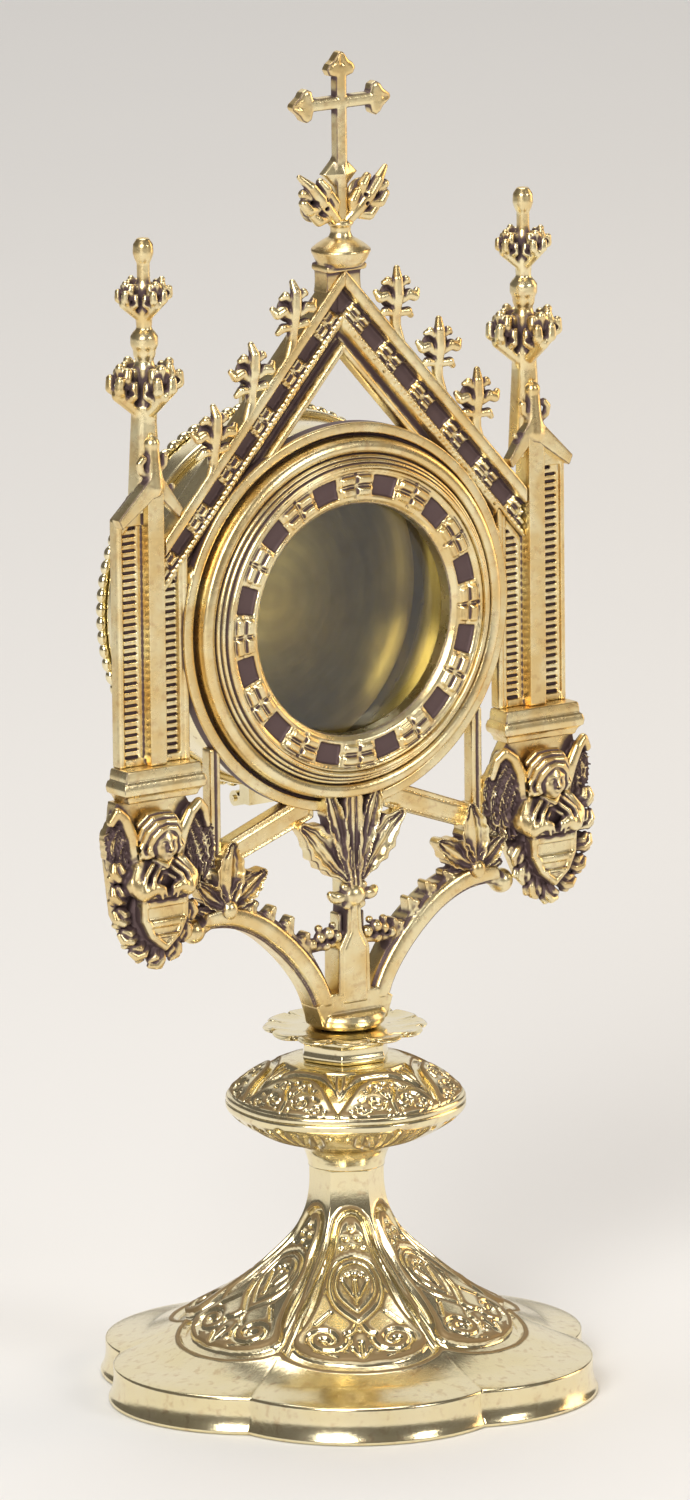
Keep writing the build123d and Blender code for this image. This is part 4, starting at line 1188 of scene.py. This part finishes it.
class Paint:
    """A material, built up a node at a time."""

    def __init__(self, name):
        self.material = bpy.data.materials.new(name)
        self.material.use_nodes = True
        self.tree = self.material.node_tree
        self.shader = self.tree.nodes["Principled BSDF"]
        self.spot = self.tree.nodes.new("ShaderNodeTexCoord").outputs["Object"]

    def put(self, socket, value):
        if isinstance(value, bpy.types.NodeSocket):
            self.tree.links.new(value, socket)
        elif isinstance(value, tuple) and len(value) == 3 and socket.type == "RGBA":
            socket.default_value = (*value, 1)
        else:
            socket.default_value = value

    def noise(self, size_mm, detail=4.0, rough=0.55):
        node = self.tree.nodes.new("ShaderNodeTexNoise")
        self.put(node.inputs["Vector"], self.spot)
        node.inputs["Scale"].default_value = 1 / (size_mm * MM)
        node.inputs["Detail"].default_value = detail
        node.inputs["Roughness"].default_value = rough
        return node.outputs["Fac"]

    def opened(self):
        node = self.tree.nodes.new("ShaderNodeAttribute")
        node.attribute_name = "open"
        return node.outputs["Fac"]

    def sum(self, a, b, gain=1.0):
        """a plus b times gain."""
        node = self.tree.nodes.new("ShaderNodeMath")
        node.operation = "MULTIPLY_ADD"
        self.put(node.inputs[0], b)
        node.inputs[1].default_value = gain
        self.put(node.inputs[2], a)
        return node.outputs[0]

    def step(self, value, low, high, from_=0.0, to=1.0):
        node = self.tree.nodes.new("ShaderNodeMapRange")
        node.interpolation_type = "SMOOTHSTEP"
        self.put(node.inputs["Value"], value)
        for name, number in (("From Min", low), ("From Max", high), ("To Min", from_), ("To Max", to)):
            node.inputs[name].default_value = number
        return node.outputs["Result"]

    def mix(self, share, a, b):
        node = self.tree.nodes.new("ShaderNodeMix")
        node.data_type = "RGBA"
        self.put(node.inputs[0], share)
        self.put(node.inputs[6], a)
        self.put(node.inputs[7], b)
        return node.outputs[2]

    def bump(self, height, depth_mm, strength=1.0):
        node = self.tree.nodes.new("ShaderNodeBump")
        self.put(node.inputs["Height"], height)
        node.inputs["Distance"].default_value = depth_mm * MM
        node.inputs["Strength"].default_value = strength
        self.put(self.shader.inputs["Normal"], node.outputs["Normal"])

    def set(self, **values):
        for name, value in values.items():
            self.put(self.shader.inputs[name.replace("_", " ").title() if name != "ior" else "IOR"], value)
        return self.material


def cast_brass(name, dark_from, dark_to, bright, warm, hollow, rough=0.24, grain=0.05):
    """Brass that has kept its shine on what stands out, with old purple-brown tarnish in hollows."""
    paint = Paint(name)
    wear = paint.sum(paint.opened(), paint.noise(3.2, 5), 0.16)
    wear = paint.sum(wear, paint.noise(0.7, 3), 0.08)
    clean = paint.step(wear, dark_from + 0.12, dark_to + 0.12)
    tone = paint.mix(paint.step(paint.noise(9, 3), 0.35, 0.65), bright, warm)
    tone = paint.mix(paint.step(paint.noise(1.6, 4), 0.52, 0.72, 0, 0.35), tone, (0.50, 0.27, 0.12))
    colour = paint.mix(clean, hollow, tone)
    paint.bump(paint.noise(0.9, 4, 0.6), grain)
    return paint.set(base_color=colour, metallic=paint.step(clean, 0.0, 0.6, 0.55, 1.0),
                     roughness=paint.sum(paint.step(clean, 0.0, 1.0, 0.55, rough), paint.noise(2.0, 3),
                                         0.08))


def smooth_brass(name, bright, warm):
    """Turned and polished brass, a little clouded."""
    paint = Paint(name)
    cloud = paint.step(paint.noise(6, 5), 0.4, 0.7)
    tone = paint.mix(cloud, bright, warm)
    tone = paint.mix(paint.step(paint.noise(1.1, 4), 0.62, 0.72, 0, 0.5), tone, (0.36, 0.2, 0.1))
    paint.bump(paint.noise(1.5, 3), 0.015)
    return paint.set(base_color=tone, metallic=1.0,
                     roughness=paint.sum(paint.step(cloud, 0, 1, 0.12, 0.2), paint.noise(1, 3), 0.06))


def lathe_brass(name):
    """The door's pan, spun and brushed round its middle."""
    paint = Paint(name)
    shift = paint.tree.nodes.new("ShaderNodeMapping")
    shift.inputs["Location"].default_value = (0, 0, -WINDOW_Z * MM)
    paint.put(shift.inputs["Vector"], paint.spot)
    wave = paint.tree.nodes.new("ShaderNodeTexWave")
    wave.wave_type = "RINGS"
    wave.rings_direction = "Y"
    wave.inputs["Scale"].default_value = 90
    wave.inputs["Distortion"].default_value = 3.0
    wave.inputs["Detail"].default_value = 4.0
    wave.inputs["Detail Scale"].default_value = 0.6
    paint.put(wave.inputs["Vector"], shift.outputs["Vector"])
    rings = paint.step(wave.outputs["Fac"], 0.1, 0.9)
    tone = paint.mix(paint.step(paint.noise(9, 4), 0.35, 0.65), (0.60, 0.49, 0.18), (0.46, 0.36, 0.12))
    tone = paint.mix(paint.step(rings, 0, 1, 0, 0.25), tone, (0.36, 0.28, 0.10))
    paint.bump(rings, 0.006, 0.4)
    return paint.set(base_color=tone, metallic=1.0, roughness=paint.step(rings, 0, 1, 0.36, 0.44))


def grey_steel(name):
    paint = Paint(name)
    tone = paint.mix(paint.step(paint.noise(3, 4), 0.4, 0.65), (0.50, 0.49, 0.47), (0.33, 0.31, 0.29))
    paint.bump(paint.noise(0.6, 3), 0.02)
    return paint.set(base_color=tone, metallic=1.0,
                     roughness=paint.step(paint.noise(1.5, 3), 0.3, 0.7, 0.25, 0.4))


def window_glass(name):
    paint = Paint(name)
    tint = paint.mix(paint.noise(12, 2), (0.97, 0.99, 0.97), (0.99, 1.0, 0.99))
    paint.put(paint.shader.inputs["Transmission Weight"], 1.0)
    return paint.set(base_color=tint, roughness=paint.step(paint.noise(5, 3), 0.3, 0.8, 0.0, 0.03),
                     ior=1.45)


def floor_paint(name):
    paint = Paint(name)
    tone = paint.mix(paint.noise(400, 3), (0.80, 0.80, 0.80), (0.83, 0.83, 0.83))
    return paint.set(base_color=tone, roughness=paint.step(paint.noise(200, 2), 0, 1, 0.7, 0.8))


# ---------------------------------------------------------------- the piece

GOLD = (0.90, 0.79, 0.49)
PALE = (0.91, 0.81, 0.54)
AMBER = (0.80, 0.60, 0.28)
PURPLE = (0.13, 0.085, 0.085)
antique = cast_brass("brass_cast", 0.43, 0.61, GOLD, AMBER, PURPLE)
chased_metal = cast_brass("brass_chased", 0.34, 0.56, PALE, GOLD, (0.30, 0.21, 0.10), rough=0.13,
                          grain=0.02)
bright = smooth_brass("brass_polished", PALE, GOLD)
lathe = lathe_brass("brass_brushed")
steel = grey_steel("steel_plain")
glass = window_glass("glass_clear")

cast("foot", foot_shape(), chased_metal, slot="chased_brass")
cast("knop_lower", knop_lower_shape(), chased_metal, slot="chased_brass")
cast("knop_upper", knop_upper_shape(), chased_metal, slot="chased_brass")
cast("collar_ring", collar_ring_shape(), bright, slot="polished_brass")
cast("petal_collar", petal_collar_shape(), bright, slot="polished_brass")
cast("yoke_socket", sculpt(yoke_socket_field, (-9, -8, 64.8), (9, 8, 72.8), 0.22, lift=0.15), antique,
     slot="polished_brass")
cast("window_frame", window_frame_shape(), antique)
cast("rosette_ring", sculpt(rosette_ring_field, (-28, -6.6, 111.7), (28, -0.8, 167.7), 0.24, ring_dull),
     antique)
cast_pair("rail", sculpt(rail_field, (-0.6, -3.4, 143), (39.8, 2.2, 203.4), 0.25, rail_dull), antique)
cast_pair("crockets", sculpt(crockets_field, (5, -4.6, 165), (34, 0.3, 203), 0.22, lift=0.08), antique)
cast("apex_cap", sculpt(apex_field, (-6.2, -7.2, 195), (6.2, 5, 211.6), 0.25), antique)
cast("cross", sculpt(cross_field, (-11.5, -3.6, 210.5), (11.5, 1.2, 241.8), 0.22), antique)
cast("cross_leaves",
     both_sides(sculpt(cross_leaf_field, (-0.2, -4.4, 209.2), (10.8, 0.6, 221.2), 0.2, lift=0.08)),
     antique)
cast_pair("turret", sculpt(turret_field, (32.8, -3.8, 118), (49.2, 2.2, 171), 0.22, turret_dull), antique)
cast_pair("gablet", sculpt(gablet_field, (34, -4.6, 159.8), (50.2, 0.8, 178.8), 0.22), antique)
cast_pair("cornice", sculpt(cornice_field, (30.6, -5.6, 112), (51.6, 2.6, 119), 0.25), antique)
cast_pair("pinnacle", sculpt(pinnacle_field, (32.4, -7.8, 162.8), (49, 9, 213), 0.28, lift=0.08), antique)
cast_pair("arm", sculpt(arm_field, (1.0, -4.6, 69.4), (36.4, 2.6, 93), 0.25), antique)
cast("centre_stem", sculpt(stem_field, (-6.2, -5.4, 69.4), (6.2, 2.1, 93.6), 0.25), antique)
cast("palmette", sculpt(palmette_field, (-13.5, -5.8, 90), (13.5, 0.1, 112.4), 0.25), antique)
cast_pair("leaf_spray", sculpt(leaf_spray_field, (16.4, -5.4, 88.4), (36, 0.4, 105), 0.22), antique)
corbel = sculpt(corbel_field, (28, -8.6, 81.6), (53, 2.2, 113.2), 0.25)
head = sculpt(head_field, (37.4, -8.7, 99.4), (46.6, 0, 111.8), 0.16)
cast_pair("angel_corbel", corbel, antique)
cast_pair("angel_head", head, antique, node="angel_corbel")
cast("case_drum",
     spun_shape([(32.7, 1.5), (32.7, 10), (32.7, 17.6), (32.7, 24), (31.5, 24), (31.5, 17.6),
                 (31.5, 1.5)]), bright, slot="polished_brass")
cast("door_seat",
     spun_shape(curve([(32.7, 18.9), (33.4, 18.9), (34.0, 19.5), (34.0, 23.4), (33.5, 24.0), (32.7, 24)],
                      0.3)), bright, slot="polished_brass")
cast("door_bead", bead_ring_shape(34.0, 25.2, 1.02, 84), bright, body=DOOR_NODES, slot="polished_brass")
cast_pair("post", sculpt(post_field, (26.8, -1.8, 89.8), (29.6, 1.8, 120.2), 0.3), antique)
cast_pair("strut", sculpt(strut_field, (6.8, -3, 96.4), (28.4, 1.8, 109.4), 0.28), antique)

FINISH = {"glass_pane": (glass, "clear_glass"), "back_door": (lathe, "brushed_brass"),
          "tie_rod": (steel, "steel"), "tie_nut": (steel, "steel"), "tie_washer": (steel, "steel"),
          "snap_spring": (steel, "steel")}
for node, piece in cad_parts.items():
    if piece.hide_render:
        continue
    paint, slot = FINISH.get(node, (bright, "polished_brass"))
    piece.data.materials.clear()
    piece.data.materials.append(paint)

# ---------------------------------------------------------------- camera, floor and light


def aim(obj, at, roll=0.0):
    """Turns a camera or light towards a point."""
    obj.rotation_mode = "QUATERNION"
    facing = (Vector(at) - obj.location).to_track_quat("-Z", "Y")
    obj.rotation_quaternion = facing @ Quaternion((0, 0, 1), roll)


def lamp(name, place_m, at, size, power, colour):
    """A soft rectangular light."""
    light = bpy.data.lights.new(name, "AREA")
    light.shape = "RECTANGLE"
    light.size, light.size_y = size
    light.energy = power
    light.color = colour
    obj = bpy.data.objects.new(name, light)
    bpy.context.scene.collection.objects.link(obj)
    obj.location = place_m
    aim(obj, at)


SIDE, RISE, AWAY_M = math.radians(34.977), math.radians(12.264), 2.5548
look = Vector((0.000423, -0.000296, 0.11535))
away = Vector((-math.sin(SIDE) * math.cos(RISE), -math.cos(SIDE) * math.cos(RISE), math.sin(RISE)))
lens = bpy.data.cameras.new("camera")
lens.sensor_width, lens.lens = 36.0, 345.95
lens.clip_start, lens.clip_end = 0.1, 50
camera = bpy.data.objects.new("camera", lens)
bpy.context.scene.collection.objects.link(camera)
camera.location = look + away * AWAY_M
aim(camera, look, math.radians(-0.6))
bpy.context.scene.camera = camera

FLOOR_HALF_M = 12.0
corners = [(a * FLOOR_HALF_M, b * FLOOR_HALF_M, 0) for a, b in ((-1, -1), (1, -1), (1, 1), (-1, 1))]
floor = bpy.data.meshes.new("floor")
floor.from_pydata(corners, [], [(0, 1, 2, 3)])
floor.materials.append(floor_paint("floor_paint"))
stand = bpy.data.objects.new("floor", floor)
bpy.context.scene.collection.objects.link(stand)

world = bpy.data.worlds.new("studio")
bpy.context.scene.world = world
world.use_nodes = True
world.node_tree.nodes["Background"].inputs["Color"].default_value = (0.62, 0.58, 0.54, 1)
world.node_tree.nodes["Background"].inputs["Strength"].default_value = 0.25
bpy.context.scene.view_settings.view_transform = "Standard"

centre = (0, 0, 0.12)
lamp("key", (-1.5, -1.1, 1.2), centre, (0.9, 1.3), 33, (1.0, 0.98, 0.95))
lamp("front", (0.7, -1.9, 1.1), centre, (0.5, 0.9), 11, (1.0, 0.97, 0.93))
lamp("warm", (1.7, -0.3, 0.5), centre, (0.7, 1.2), 9, (1.0, 0.72, 0.40))
lamp("top", (0.1, 0.3, 1.9), centre, (1.2, 1.2), 17, (1.0, 0.98, 0.95))
lamp("back", (1.15, 1.65, 1.15), centre, (2.4, 2.2), 11, (1.0, 0.98, 0.95))
